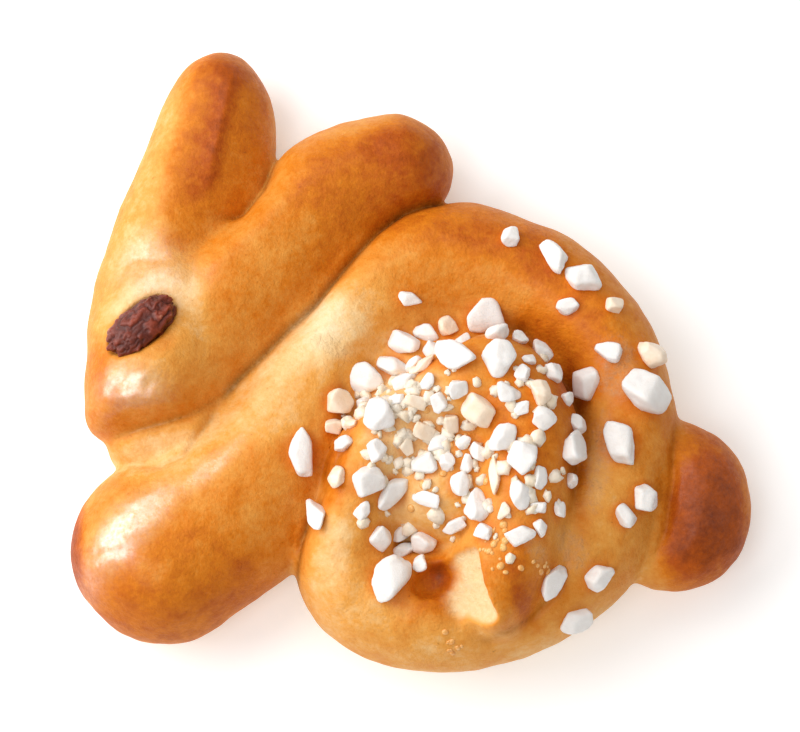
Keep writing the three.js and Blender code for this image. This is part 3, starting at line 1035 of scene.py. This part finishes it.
    def bake(self, wet: np.ndarray) -> None:
        """Stores how dark each point of the crust baked, and how wet with melted sugar it is.

        High ground and what stands out baked darker. Each tone then pulls the level towards its own, by its
        hold times its weight, and the foot by the tray is paler. A few tones are painted highlights on the
        cheek, paw and tail, and painted shade in the valley and the pit. The line along the strokes is
        painted shade in the creases.

        Args:
            wet: The wetness of each point, from 0 to 1.
        """
        places = self.skin.places
        high = smoothstep(1.0, 16.0, places[:, 2])
        low, height, ridge = self.BAKED
        level = low + height * high + ridge * np.clip(self.skin.relief(60), -1.0, 1.0)
        total, weights = level.copy(), np.ones(len(places))
        for tone in self.tones:
            hold = tone.weight * tone.hold(places)
            total += hold * tone.level
            weights += hold
        foot = self.FOOT + (1.0 - self.FOOT) * smoothstep(0.5, 6.0, places[:, 2])
        put_value(self.piece, "bake", np.clip(foot * total / weights, 0.0, 1.0))
        put_value(self.piece, "wet", wet)
        put_value(self.piece, "crumb", self.skin.spread(self.crumb, 8))
        put_value(self.piece, "torn", self.skin.spread(self.ragged, 2))
        put_value(self.piece, "gloss", np.maximum(self._strongest(self.gloss), self.SHEEN))
        # line: painted shade along the strokes' creases, the valley and the pit
        line = np.zeros(len(places))
        for stroke in self.strokes:
            line = np.maximum(line, stroke.dark * stroke.reach(places, self.SHADE_REACH * stroke.width))
        put_value(self.piece, "line", self.skin.spread(line, 3))


@dataclass
class Raisin:
    """The eye: a wrinkled raisin in its hollow."""

    socket: EyeSocket
    finish: RaisinFinish

    ROWS = 110  # from end to end
    SIDES = 150  # points in a row
    BLUNT = 2.5  # 2 is an ellipsoid, and more is nearer to a block
    CORE = 0.86  # its size between the ridges, as a share
    FOLDS = 0.18  # how much larger it is on the ridges

    def build(self) -> bpy.types.Object:
        """A blunt ball squeezed to the raisin's sizes and folded by noise that is stretched along it.

        With u the direction from the middle, the point is u times the half sizes, made blunt by a power
        mean, times the core's share, and more on the ridges. A fold is deep where warped noise is near 0.

        Returns:
            The dressed piece, in the place of its node.
        """
        low, high = (np.array(corner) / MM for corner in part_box("raisin_eye"))
        middle = (low + high) / 2.0 + MIDDLE
        polar = np.linspace(0.0, np.pi, self.ROWS + 2)[:, None]
        angle = np.linspace(0.0, 2.0 * np.pi, self.SIDES, endpoint=False)[None, :]
        x = np.cos(polar) * np.ones_like(angle)
        y = np.sin(polar) * np.cos(angle)
        z = np.sin(polar) * np.sin(angle)
        unit = np.stack([x, y, z], axis=-1)
        unit = np.concatenate([unit[0, :1], unit[1:-1].reshape(-1, 3), unit[-1, :1]])
        blunt = (np.abs(unit) ** self.BLUNT).sum(axis=1, keepdims=True) ** (-1.0 / self.BLUNT)
        place = unit * blunt * np.array(self.socket.half_size)
        stretched = place * (0.55, 1.0, 1.0)
        warp = np.stack([layered(40 + i, 3.0, place) for i in range(3)], axis=-1)
        wide = np.abs(layered(50, 2.4, stretched + 0.9 * warp, 2))
        fine = np.abs(layered(60, 1.0, stretched + 0.5 * warp, 2))
        ridge = np.clip(wide + 0.35 * fine, 0.0, 1.0)
        shape = place * (self.CORE + self.FOLDS * ridge)[:, None]
        shape[:, :2] = shape[:, :2] @ turned(self.socket.turn)
        faces = tube_faces(self.ROWS, self.SIDES)
        piece = new_piece("raisin", shape + middle, faces, self.finish.material())
        recalculate_normals(piece)
        put_value(piece, "ridge", ridge)
        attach(piece, "root")
        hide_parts("raisin_eye")
        return piece


def recalculate_normals(piece: bpy.types.Object) -> None:
    """Turns all the faces of a closed piece outwards.

    Args:
        piece: The piece.
    """
    work = bmesh.new()
    work.from_mesh(piece.data)
    bmesh.ops.recalc_face_normals(work, faces=work.faces)
    work.to_mesh(piece.data)
    work.free()


def ball(subdivisions: int) -> tuple[np.ndarray, np.ndarray]:
    """A ball of radius 1, from which lumps of sugar are shaped.

    Args:
        subdivisions: How often the triangles of an icosahedron are divided, from 1 for not at all.

    Returns:
        The points and the triangles.
    """
    work = bmesh.new()
    bmesh.ops.create_icosphere(work, subdivisions=subdivisions, radius=1.0)
    unit = np.array([corner.co for corner in work.verts])
    faces = np.array([[corner.index for corner in face.verts] for face in work.faces])
    work.free()
    return unit, faces


def strewn(
    name: str, lumps: list[np.ndarray], faces: np.ndarray, finish: SugarFinish | SyrupFinish
) -> bpy.types.Object:
    """Joins lumps of sugar that lie on the bread to one piece.

    Args:
        name: The piece's name.
        lumps: The points of each lump.
        faces: The triangles that all of the lumps have.
        finish: Their finish.

    Returns:
        The dressed piece.
    """
    shifted = faces[None] + (np.arange(len(lumps)) * len(lumps[0]))[:, None, None]
    triangles = list(map(tuple, shifted.reshape(-1, 3).tolist()))
    piece = new_piece(name, np.concatenate(lumps), triangles, finish.material())
    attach(piece, "root")
    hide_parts("bun")
    return piece


def seeded_draws(seed: int) -> Iterator[float]:
    """The same endless row of numbers from 0 to 1 on every run, from 32-bit shifts and products.

    Args:
        seed: Which row.

    Yields:
        The next number.
    """
    low_bits = 0xFFFFFFFF
    state = seed
    while True:
        state = (state + 0x6D2B79F5) & low_bits
        mixed = ((state ^ (state >> 15)) * (1 | state)) & low_bits
        mixed = ((mixed + ((mixed ^ (mixed >> 7)) * (61 | mixed))) & low_bits) ^ mixed
        yield ((mixed ^ (mixed >> 14)) & low_bits) / 2.0**32


@dataclass(frozen=True)
class Grain:
    """One grain of sugar: its place seen from above, length, width, turn in degrees and tilt in radians."""

    at: Pair
    length: float
    width: float
    turn: float
    tilt: float = 0.0

    @property
    def radius(self) -> float:
        """Half the mean of its length and width."""
        return (self.length + self.width) / 4.0


@dataclass
class PearlSugar:
    """The sugar on the coil: large grains one by one, and small ones thrown at its middle."""

    # the large grains as (x, y, length, width, turn in degrees)
    large: tuple[tuple[float, float, float, float, float], ...]
    middle: Pair = (7.0, -15.0)  # where the small grains are thrown
    reach: float = 20.0  # how far from there they land at most
    bare: Pair = (8.5, -38.5)  # the middle of the cut tip and the pit, where none lies
    bare_reach: float = 8.0  # how far from there none lies
    crowding: float = 0.62  # 0.5 is even, and more draws them to the middle
    count: int = 72  # how many small grains there are
    length: Pair = (2.8, 4.8)  # the range of their lengths
    slimness: Pair = (0.6, 0.95)  # the range of width as a share of length
    gap: float = 0.05  # the least space between grains
    thickness: float = 0.8  # thickness as a share of width
    lift: float = 0.16  # how far over the crust a grain's middle is, as a share of its width
    tilt: float = 0.35  # the largest tilt in radians
    syrup: Pair = (-1.0, -12.0)  # where the most sugar melted
    soaked_share: Pair = (0.55, 0.06)  # the share of the grains that went creamy near there, and elsewhere
    stain: float = 1.4  # how far from a grain's edge the crust is stained

    THROWS = 4000  # at most
    CORNERS = 12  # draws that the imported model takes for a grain's corners
    DETAIL = 4  # how fine a stone's triangles are
    BREAKS = 9  # broken corners of a stone
    SKEW = 0.34  # how far a stone's sides are from square
    SIDES_AT = (0.76, 0.94)  # the range of the sides' distances from a stone's middle
    BREAKS_AT = (0.84, 1.1)  # the range of the broken corners' distances from there
    GRIT = 0.04  # how uneven a stone's faces are
    LONGEST = 1.35  # how far a stone's corner is from its middle at most
    EDGE = 14.0  # how sharp its edges are
    SHRINK = 0.96  # a stone's size as a share of its grain's
    DRY_LENGTH = 6.2  # a longer grain doesn't soak through
    SYRUP_REACH = 12.0  # how far round the syrup most grains soak

    def grains(self) -> list[Grain]:
        """Throws the small grains after the large ones and tilts them all.

        Returns:
            The grains, each of the small ones clear of those that landed before it.
        """
        draws = seeded_draws(SEED)
        landed = [Grain((x, y), long, wide, turn) for x, y, long, wide, turn in self.large]
        for _ in range(self.THROWS):
            if len(landed) >= len(self.large) + self.count:
                break
            turn = 2.0 * math.pi * next(draws)
            distance = self.reach * next(draws) ** self.crowding
            at = (self.middle[0] + distance * math.cos(turn), self.middle[1] + distance * math.sin(turn))
            long = self.length[0] + (self.length[1] - self.length[0]) * next(draws)
            wide = long * (self.slimness[0] + (self.slimness[1] - self.slimness[0]) * next(draws))
            grain = Grain(at, long, wide, 360.0 * next(draws))
            if math.dist(at, self.bare) < self.bare_reach:
                continue
            if any(math.dist(at, other.at) < grain.radius + other.radius + self.gap for other in landed):
                continue
            landed.append(grain)
        tilted = []
        for grain in landed:
            tilted.append(replace(grain, tilt=self.tilt * (2.0 * next(draws) - 1.0)))
            for _ in range(self.CORNERS):
                next(draws)
        return tilted

    def _stone(self, rng: np.random.Generator, unit: np.ndarray) -> np.ndarray:
        """A stone about 2 across: an uneven block with broken corners, its edges rounded by a power mean.

        In the direction u the radius is the sum over the planes of (u.n / h) to the power p, to the power
        -1/p, where n is a plane's normal, h its distance from the middle, and only planes that u points at
        count. Six planes are the block's sides, and the others break its corners.

        Args:
            rng: The random numbers, which go on from stone to stone.
            unit: The directions.

        Returns:
            The points in those directions.
        """
        sides = np.concatenate([np.eye(3), -np.eye(3)])
        breaks = rng.normal(size=(self.BREAKS, 3))
        normals = np.concatenate([sides + rng.normal(scale=self.SKEW, size=sides.shape), breaks])
        normals /= np.linalg.norm(normals, axis=1, keepdims=True)
        sides_away = rng.uniform(*self.SIDES_AT, len(sides))
        away = np.concatenate([sides_away, rng.uniform(*self.BREAKS_AT, len(breaks))])
        facing = np.maximum(unit @ normals.T / away, 0.0)
        radius = np.minimum((facing**self.EDGE).sum(axis=1) ** (-1.0 / self.EDGE), self.LONGEST)
        return unit * (radius * (1.0 + self.GRIT * layered(int(rng.integers(1000)), 0.5, unit)))[:, None]

    def _kind(self, grain: Grain, rng: np.random.Generator) -> Sugar:
        """Which kind of sugar a grain is, by chance and by how near it is to the syrup.

        Args:
            grain: The grain.
            rng: The random numbers, which go on from grain to grain.

        Returns:
            The kind.
        """
        near = math.exp(-((math.dist(grain.at, self.syrup) / self.SYRUP_REACH) ** 2))
        share = self.soaked_share[1] + near * (self.soaked_share[0] - self.soaked_share[1])
        soaked = rng.random() < share
        return Sugar.SOAKED if soaked and grain.length < self.DRY_LENGTH else Sugar.WHITE

    def build(self, loaf: Loaf) -> tuple[list[bpy.types.Object], np.ndarray]:
        """Seats the grains on the bread.

        Args:
            loaf: The bread.

        Returns:
            The pieces of white and of soaked sugar, and how wet each point of the crust is.
        """
        rng = np.random.default_rng(SEED)
        unit, faces = ball(self.DETAIL)
        stones: dict[Sugar, list[np.ndarray]] = {kind: [] for kind in Sugar}
        wet = np.zeros(len(loaf.skin.places))
        for grain in self.grains():
            hit, normal, lean = loaf.seat(grain.at)
            turn = lean @ spin(-grain.turn) @ spin(-math.degrees(grain.tilt), 1)
            size = np.array([grain.length, grain.width, grain.width * self.thickness]) / 2.0
            stone = self._stone(rng, unit) * size * self.SHRINK
            middle = hit + normal * grain.width * self.lift
            stones[self._kind(grain, rng)].append(stone @ turn.T + middle)
            away = np.linalg.norm(loaf.skin.places - hit, axis=1)
            stained = 1.0 - smoothstep(grain.radius * 0.8, grain.radius + self.stain, away)
            wet = np.maximum(wet, stained * rng.uniform(0.3, 1.0))
        pieces = [strewn(kind.value.name, group, faces, kind.value) for kind, group in stones.items()]
        return pieces, wet


@dataclass(frozen=True)
class Scatter:
    """Small lumps strewn over the crust, joined to one piece."""

    name: str
    patches: tuple[tuple[float, float, float, int], ...]  # where they lie, as (x, y, reach, count)
    size: Pair  # the range of their sizes
    height: float  # height as a share of size
    jagged: float  # how uneven each of them is
    finish: SugarFinish | SyrupFinish

    DETAIL = 2  # how fine a lump's triangles are
    SLIMMEST = 0.6  # the least width as a share of size

    def build(self, loaf: Loaf) -> bpy.types.Object:
        """Seats the lumps on the bread: each is a ball with its points pushed in or out and squeezed.

        Args:
            loaf: The bread.

        Returns:
            The dressed piece.
        """
        rng = np.random.default_rng(SEED)
        unit, faces = ball(self.DETAIL)
        lumps = []
        for x, y, reach, count in self.patches:
            for at in rng.normal((x, y), reach / 2.0, (count, 2)):
                hit, _, lean = loaf.seat(at)
                size = rng.uniform(*self.size) / 2.0
                axes = size * np.array([1.0, rng.uniform(self.SLIMMEST, 1.0), self.height])
                turn = lean @ spin(rng.uniform(0.0, 360.0))
                pushed = unit * (1.0 + self.jagged * rng.uniform(-1.0, 1.0, (len(unit), 1)))
                lumps.append((pushed * axes) @ turn.T + hit)
        return strewn(self.name, lumps, faces, self.finish)


SUGAR_CRUMBS = Scatter(
    "sugar_crumbs",
    patches=((3, -14, 11, 90), (-3, -10, 6, 24), (14, -22, 10, 36), (18, -8, 6, 12)),
    size=(0.9, 2.8), height=0.8, jagged=0.3,
    finish=SugarFinish("crumb_sugar", linear(244, 234, 220), linear(238, 216, 184), 0.45),
)
SYRUP_BEADS = Scatter(
    "syrup_beads",
    patches=((13.3, -31.8, 3.2, 26), (20.8, -35.8, 1.8, 9), (6, -46, 2.2, 8), (4, -20, 9, 16)),
    size=(0.5, 1.5), height=0.5, jagged=0.06,
    finish=SyrupFinish(),
)

LARGE_SUGAR = (
    (-17.5, -16.5, 8.6, 3.8, -88), (-14.5, -26.5, 6.9, 3.6, -45), (-3, -37, 7.9, 5.4, 50),
    (37, -7, 9.1, 6.9, -50), (12, 6.5, 7.3, 5.4, 20), (7, -3, 7.6, 4.6, -60), (13.5, -4, 5.1, 5.1, 0),
    (-7, -4, 5.1, 4.8, -50), (-5, -12.5, 5.4, 5, 40), (-12, -8, 5, 4.6, 0), (10.5, -11, 5.6, 4, -45),
    (14.5, -16, 4.6, 4.1, 60), (17, -19, 5.3, 4.6, 60), (24.5, -17, 5.9, 5, 15), (33, -15, 7.6, 5, -75),
    (38, -0.5, 5.1, 4.5, -40), (28.5, -5, 5.3, 4.3, 80), (27.5, 12, 5.3, 5, 0), (23, 16, 6.3, 3.3, -65),
    (16, 19, 4, 3.1, 75), (32.5, 7.5, 3.3, 3, 0), (32, -0.5, 4.3, 3.3, -30), (25.5, 7.5, 3.6, 2.8, 30),
    (36.5, -23.5, 4.6, 4.3, 0), (33.5, -26.5, 4.6, 3, -45), (29, -36, 4.5, 4, 60),
    (21.5, -37, 5.6, 3.3, 50), (26, -42, 5.4, 3.6, 20), (-0.5, 9, 3.8, 2.6, 0), (-7, -22, 5.4, 5.1, 20),
    (-3.5, -23.5, 6.3, 3.6, 60), (2, -30, 4.8, 4.1, -50), (-5, -30, 4.3, 3.3, -50),
    (10.5, -26.5, 5.6, 4.1, -60), (16.5, -31, 4.5, 3.3, 10), (13, -21.5, 5.9, 2.1, -80),
)

# a stroke's dark value paints shade into its crease: along the head, in the valley beside the inner turn and
# in the pit
STROKES = (
    Stroke(
        (
            (7.2, 28.1), (3, 26.8), (-1.2, 25), (-5.3, 21.8), (-9.3, 17.1), (-12.5, 13), (-15.7, 8.8),
            (-19.8, 5), (-23.9, 0.5), (-28.2, -3.7), (-31.2, -7.8),
        ),
        width=1.7, depth=2, fade=0.06, dark=1,
    ),
    Stroke(((-29.5, -5.5), (-34.8, -9.5), (-39.5, -11), (-43.8, -12), (-49.5, -13.4)), 1.2, 0.9, dark=0.4),
    Stroke(((-48, -16.5), (-40.2, -18.2), (-36.1, -16.7), (-33.3, -12.1), (-30.5, -7)), 1.4, 1, dark=0.2),
    Stroke(((-22.6, 36.5), (-24.4, 29.4), (-27.9, 24.7), (-30.8, 23.9), (-34, 23.6)), 1.5, 1.6, 0.3, 0.6),
    Stroke(((-29.2, 51), (-31.1, 40.2), (-32.7, 31.9), (-33.7, 25.5)), 3.6, -0.8, 0.3),
    Stroke(
        ((10.5, 5.5), (18.5, 4.8), (22.1, -1.2), (26, -4.8), (27.1, -9.8), (25.3, -19.5), (26, -26.5)),
        width=2.8, depth=2, fade=0.2, dark=0.75,
    ),
    Stroke(
        ((-10.8, -2.1), (-10.5, -15.9), (-13.7, -23.1), (-17.4, -31), (-17.9, -35.2)),
        width=1.6, depth=1.3, fade=0.2, dark=0.35,
    ),
    Stroke(((43.1, -8.4), (42.1, -15.3), (41.9, -20.5), (40.5, -28.4), (38.6, -32.8)), 1.4, 1, 0.15, 0.3),
    Stroke(
        ((24.5, -33), (22.3, -38.8), (18.9, -42.3), (15.2, -44.8), (12.2, -45.8), (9.6, -45.6)),
        width=1.5, depth=1.2, fade=0.15, dark=0.4,
    ),
    Stroke(((4.6, -35), (5.4, -39), (6.2, -42.6), (8.4, -45.2)), 1.1, 0.6, 0.2, 0.3),
    Stroke(((-15.6, -25), (-17.2, -30), (-18, -34.5), (-18.5, -39)), 1.2, 1.6, 0.12, 1),
    # painted shade in the pit beside the tip
    Stroke(((4.2, -36.4), (4.5, -36.4)), 5, 0.1, 0.01, 0.9),
    Stroke(((-31.5, 30.3), (-31.2, 30.3)), 0.8, 0.3, 0.01, 1.6),
    Stroke(((1.9, 32.9), (2.1, 32.9)), 0.8, 0.3, 0.01, 1.6),
)

TORN = tones(
    (-13, 1, 3.6, 1.5, -35, 0.7), (19, -33, 2.4, 1.6, -40, 0.5), (-9.5, -10, 1.4, 4, 0, 0.4),
    # the patch at (33, -3) on the rump is partly painted shade, duller where it faces away from the light
    (29.5, -18, 2.2, 9, -8, 0.5), (25, -32, 2.6, 4, 30, 0.5), (33, -3, 3.5, 6, 0, 0.5),
)

GLOSS = tones(
    (-44.9, -29.6, 8.8, 2.9, 52, 1), (-31.5, -18.5, 5, 1.6, 45, 0.5), (-44.2, -7, 4.6, 3, 0, 1),
    (-41.6, 13.6, 6, 4.8, -20, 0.6), (48, -22, 4, 7, 0, 0.15),
)

TONES = tones(
    # left ear: pale outer side, dark ridge, tan facet beside it
    (-41.6, 36, 2.4, 14, -14, 0.34), (-37.2, 36, 2.8, 13, -12, 0.66, 4), (-31.8, 40, 1.7, 9, -12, 0.92, 6),
    (-34.6, 36, 1.6, 12, -12, 0.78, 5), (-34, 28.5, 1.6, 6, -12, 0.84, 6),
    (-28.2, 38, 2.2, 13, -6, 0.66, 6), (-31.5, 48, 5, 3, 0, 0.84, 4), (-34.5, 23.5, 3.6, 4, 0, 0.62, 4),
    # head
    (-44, 18, 3.5, 9, -15, 0.28), (-39.5, 11.5, 3.2, 4, 0, 0.16), (-36, 18.5, 3, 5, -10, 0.54, 4),
    (-45.5, 8.5, 5, 1.6, 43, 0.14), (-30, 17, 4, 5, 0, 0.5), (-28, 6, 5.5, 8, -40, 0.54),
    (-22, 13, 5, 7, -40, 0.56), (-34, 2, 3.5, 4, 0, 0.36), (-35.5, 8.5, 2.2, 5, 10, 0.14),
    # the pale patch at (-43, -4) is partly a painted highlight on the cheek
    (-43, -4, 5, 3, -20, 0.32), (-50, -4, 2.5, 4, 0, 0.66), (-39.5, -9.6, 9, 2.2, 14, 0.58, 4),
    # right ear, browner towards its tip
    (-20, 22, 5, 5, 0, 0.56), (-13, 29, 6, 5, 20, 0.76, 4), (-13, 18, 3, 6, -45, 0.68),
    (-4, 26, 5, 3, 20, 0.78, 4), (-3, 34.5, 5, 4, 10, 0.9), (3.5, 32, 3, 5, 0, 0.84),
    (-12, 39, 8, 1.5, 12, 0.5),
    # chin and the pale stretched dough beside the crease
    (-40, -15.5, 7, 3, 10, 0.2), (-27, -8, 7, 2.6, 45, 0.22), (-18, 1.5, 9, 3, 45, 0.14),
    (-13, 4, 5, 4, 45, 0, 4), (-7, 9, 4, 3, 50, 0.32),
    # chest and forepaw
    (-22.5, -11.5, 6, 3.5, 45, 0.26), (-27, -19, 6, 4, 40, 0.56), (-20, -23, 4, 8, 20, 0.56),
    # the pale streak at (-38, -23) and the patch at (-47, -28) are partly a painted highlight on the paw
    (-38, -23, 9, 2.5, 40, 0.36), (-47, -28, 3, 5, -10, 0.48), (-36, -33, 9, 6, 35, 0.66),
    (-29, -38, 6, 4, 20, 0.76), (-42, -42, 8, 3.2, -8, 0.77, 4), (-54.5, -30, 1.8, 9, 4, 0.96, 5),
    (-51, -40, 3, 3, 0, 0.74),
    # back and rump
    (-3, 16, 5, 4, 40, 0.56), (8, 21, 9, 4, 0, 0.76), (20, 16, 7, 3.5, -35, 0.8), (5, 12, 7, 3, 10, 0.58),
    (29, 2, 4.5, 8, 10, 0.72), (35, 2, 3, 9, 20, 0.58), (36, -14, 4, 8, 0, 0.57), (31, -24, 4, 6, 0, 0.42),
    # belly
    (23, -38, 6, 4, 35, 0.52), (24, -46, 12, 2.5, 25, 0.28), (6, -46.5, 12, 3, 0, 0.37),
    (-9, -41, 5, 5, -30, 0.34), (-5, -33, 3, 3, 0, 0.5), (-12.5, -33, 2.5, 7, -10, 0.14),
    (-12, -18, 1.6, 6, 0, 0.8, 5),
    # the coil's inner turn and its tip
    (-9, -13, 3, 9, 0, 0.62), (-3, -12, 7, 9, 0, 0.1, 4), (3, -26, 5, 4, 0, 0.2), (10, 0, 9, 4, 0, 0.56),
    (17, -14, 6, 8, 0, 0.64), (12, -29, 6, 3.5, 0, 0.52), (20.5, 3, 2.5, 3.5, 45, 0.8),
    # painted shade: (25.2, -5) and (26.5, -17) partly darken the valley beside the inner turn, and (3.3,
    # -37.6) and (4.3, -35.6) the pit by the tip
    (25.2, -5, 1.8, 6, -15, 0.84, 4), (26.5, -17, 1.4, 7, 0, 0.72, 4), (3.3, -37.6, 2.8, 2.8, 0, 0.72, 5),
    (4.3, -35.6, 1.5, 1.5, 0, 1, 6), (16.8, -38.2, 2.6, 4.2, 15, 0.76, 5),
    (16.4, -39.4, 1.1, 2.8, 20, 0.88, 4), (20.4, -38.4, 1.5, 3, 20, 0.46, 4),
    (14, -39.5, 1.2, 4.5, 15, 0.54, 6),
    # tail: brown, with a paler root, and a painted highlight on its rim
    (49, -24, 5, 9, 10, 1, 5), (44, -29, 3, 6, 0, 0.96, 4), (44, -15, 3, 5, 0, 0.58),
    (55.5, -20, 2, 9, 0, 0.45),
)


@dataclass
class Studio:
    """A pale floor, soft light from the left, and the camera nearly straight above."""

    aim: Triple = (-2.18, -2.5, 10.0)  # what the camera looks at, in millimetres in the model's frame
    elevation: float = 76.0  # the camera's height over the horizon in degrees
    away: float = 330.0  # its distance in millimetres
    lens: float = 90.0  # its focal length in millimetres
    sky: Triple = (1.0, 0.98, 0.95)  # the colour of the light from all round
    ambient: float = 0.42  # how strong that light is

    SOFTBOXES = (  # name, direction, metres away, side in metres, watts
        ("window", (-0.80, 0.20, 0.54), 0.6, 0.5, 3.1),
        ("lamp", (-0.34, -0.40, 0.85), 0.7, 0.32, 1.2),
        ("sky", (0.0, 0.0, 1.0), 0.9, 0.9, 0.7),
        ("pane", (-0.30, 0.56, 0.77), 0.7, 0.42, 1.1),
    )
    FLOOR = ((0.93, 0.93, 0.93), (0.95, 0.95, 0.95))  # the colours of its patches
    GLOW = 0.22  # how strongly it glows
    SENSOR = 36.0  # the width of the camera's sensor in millimetres
    HALF = 1000.0  # half the floor's side
    UNDER = 0.02  # how far the floor is under the bun

    def build(self) -> None:
        """Sets up floor, light and camera."""
        self._floor()
        for softbox in self.SOFTBOXES:
            self._softbox(*softbox)
        world = bpy.data.worlds.new("studio")
        world.use_nodes = True
        background = world.node_tree.nodes["Background"]
        background.inputs["Color"].default_value = (*self.sky, 1.0)
        background.inputs["Strength"].default_value = self.ambient
        bpy.context.scene.world = world
        bpy.context.scene.view_settings.view_transform = "Standard"
        self._camera()

    def _floor(self) -> None:
        """A white table top that glows a little, so that its shadows are pale."""
        corners = self.HALF * np.array([[-1, -1, 0], [1, -1, 0], [1, 1, 0], [-1, 1, 0]])
        bench = Bench("floor")
        tint = bench.noise(90.0, 2.0) * 0.01
        colour = bench.mix((0.5 + tint).clamped(), *self.FLOOR)
        glow = {"Emission Color": (1.0, 0.99, 0.98, 1.0), "Emission Strength": self.GLOW}
        material = bench.finish({"Base Color": colour, "Roughness": 0.9, **glow})
        new_piece("floor", corners - (0.0, 0.0, self.UNDER), [(0, 1, 2, 3)], material)

    def _softbox(self, name: str, towards: Triple, away: float, size: float, power: float) -> None:
        """Puts up a square light that faces the bun.

        Args:
            name: Its name.
            towards: The direction in which it stands.
            away: How far away it stands, in metres.
            size: Its side in metres.
            power: Its power in watts.
        """
        lamp = bpy.data.lights.new(name, "AREA")
        lamp.shape = "SQUARE"
        lamp.size = size
        lamp.energy = power
        light = linked(name, lamp)
        back = Vector(towards).normalized()
        light.location = back * away
        light.rotation_euler = back.to_track_quat("Z", "Y").to_euler()

    def _camera(self) -> None:
        """The camera of the photograph's view."""
        lens = bpy.data.cameras.new("camera")
        lens.lens = self.lens
        lens.sensor_width = self.SENSOR
        camera = linked("camera", lens)
        angle = math.radians(self.elevation)
        back = Vector((0.0, -math.cos(angle), math.sin(angle)))
        camera.location = Vector(self.aim) * MM + back * self.away * MM
        camera.rotation_euler = (-back).to_track_quat("-Z", "Y").to_euler()
        bpy.context.scene.camera = camera


def report(piece: bpy.types.Object) -> None:
    """Logs a piece's name and how many triangles it has."""
    triangles = sum(len(face.vertices) - 2 for face in piece.data.polygons)
    LOG.info("%s: %d triangles", piece.name, triangles)


def main() -> None:
    """Builds the bun and its studio."""
    logging.basicConfig(level=logging.INFO, format="%(name)s %(message)s")
    Studio().build()
    socket = EyeSocket()
    loaf = Loaf(STRANDS, socket, TipCut(), Hollow(), STROKES, TONES, TORN, GLOSS, CrustFinish())
    report(loaf.build())
    pieces, wet = PearlSugar(LARGE_SUGAR).build(loaf)
    for piece in pieces:
        report(piece)
    for scatter in (SUGAR_CRUMBS, SYRUP_BEADS):
        report(scatter.build(loaf))
    loaf.bake(wet)
    report(Raisin(socket, RaisinFinish()).build())


if __name__ == "__main__":
    main()
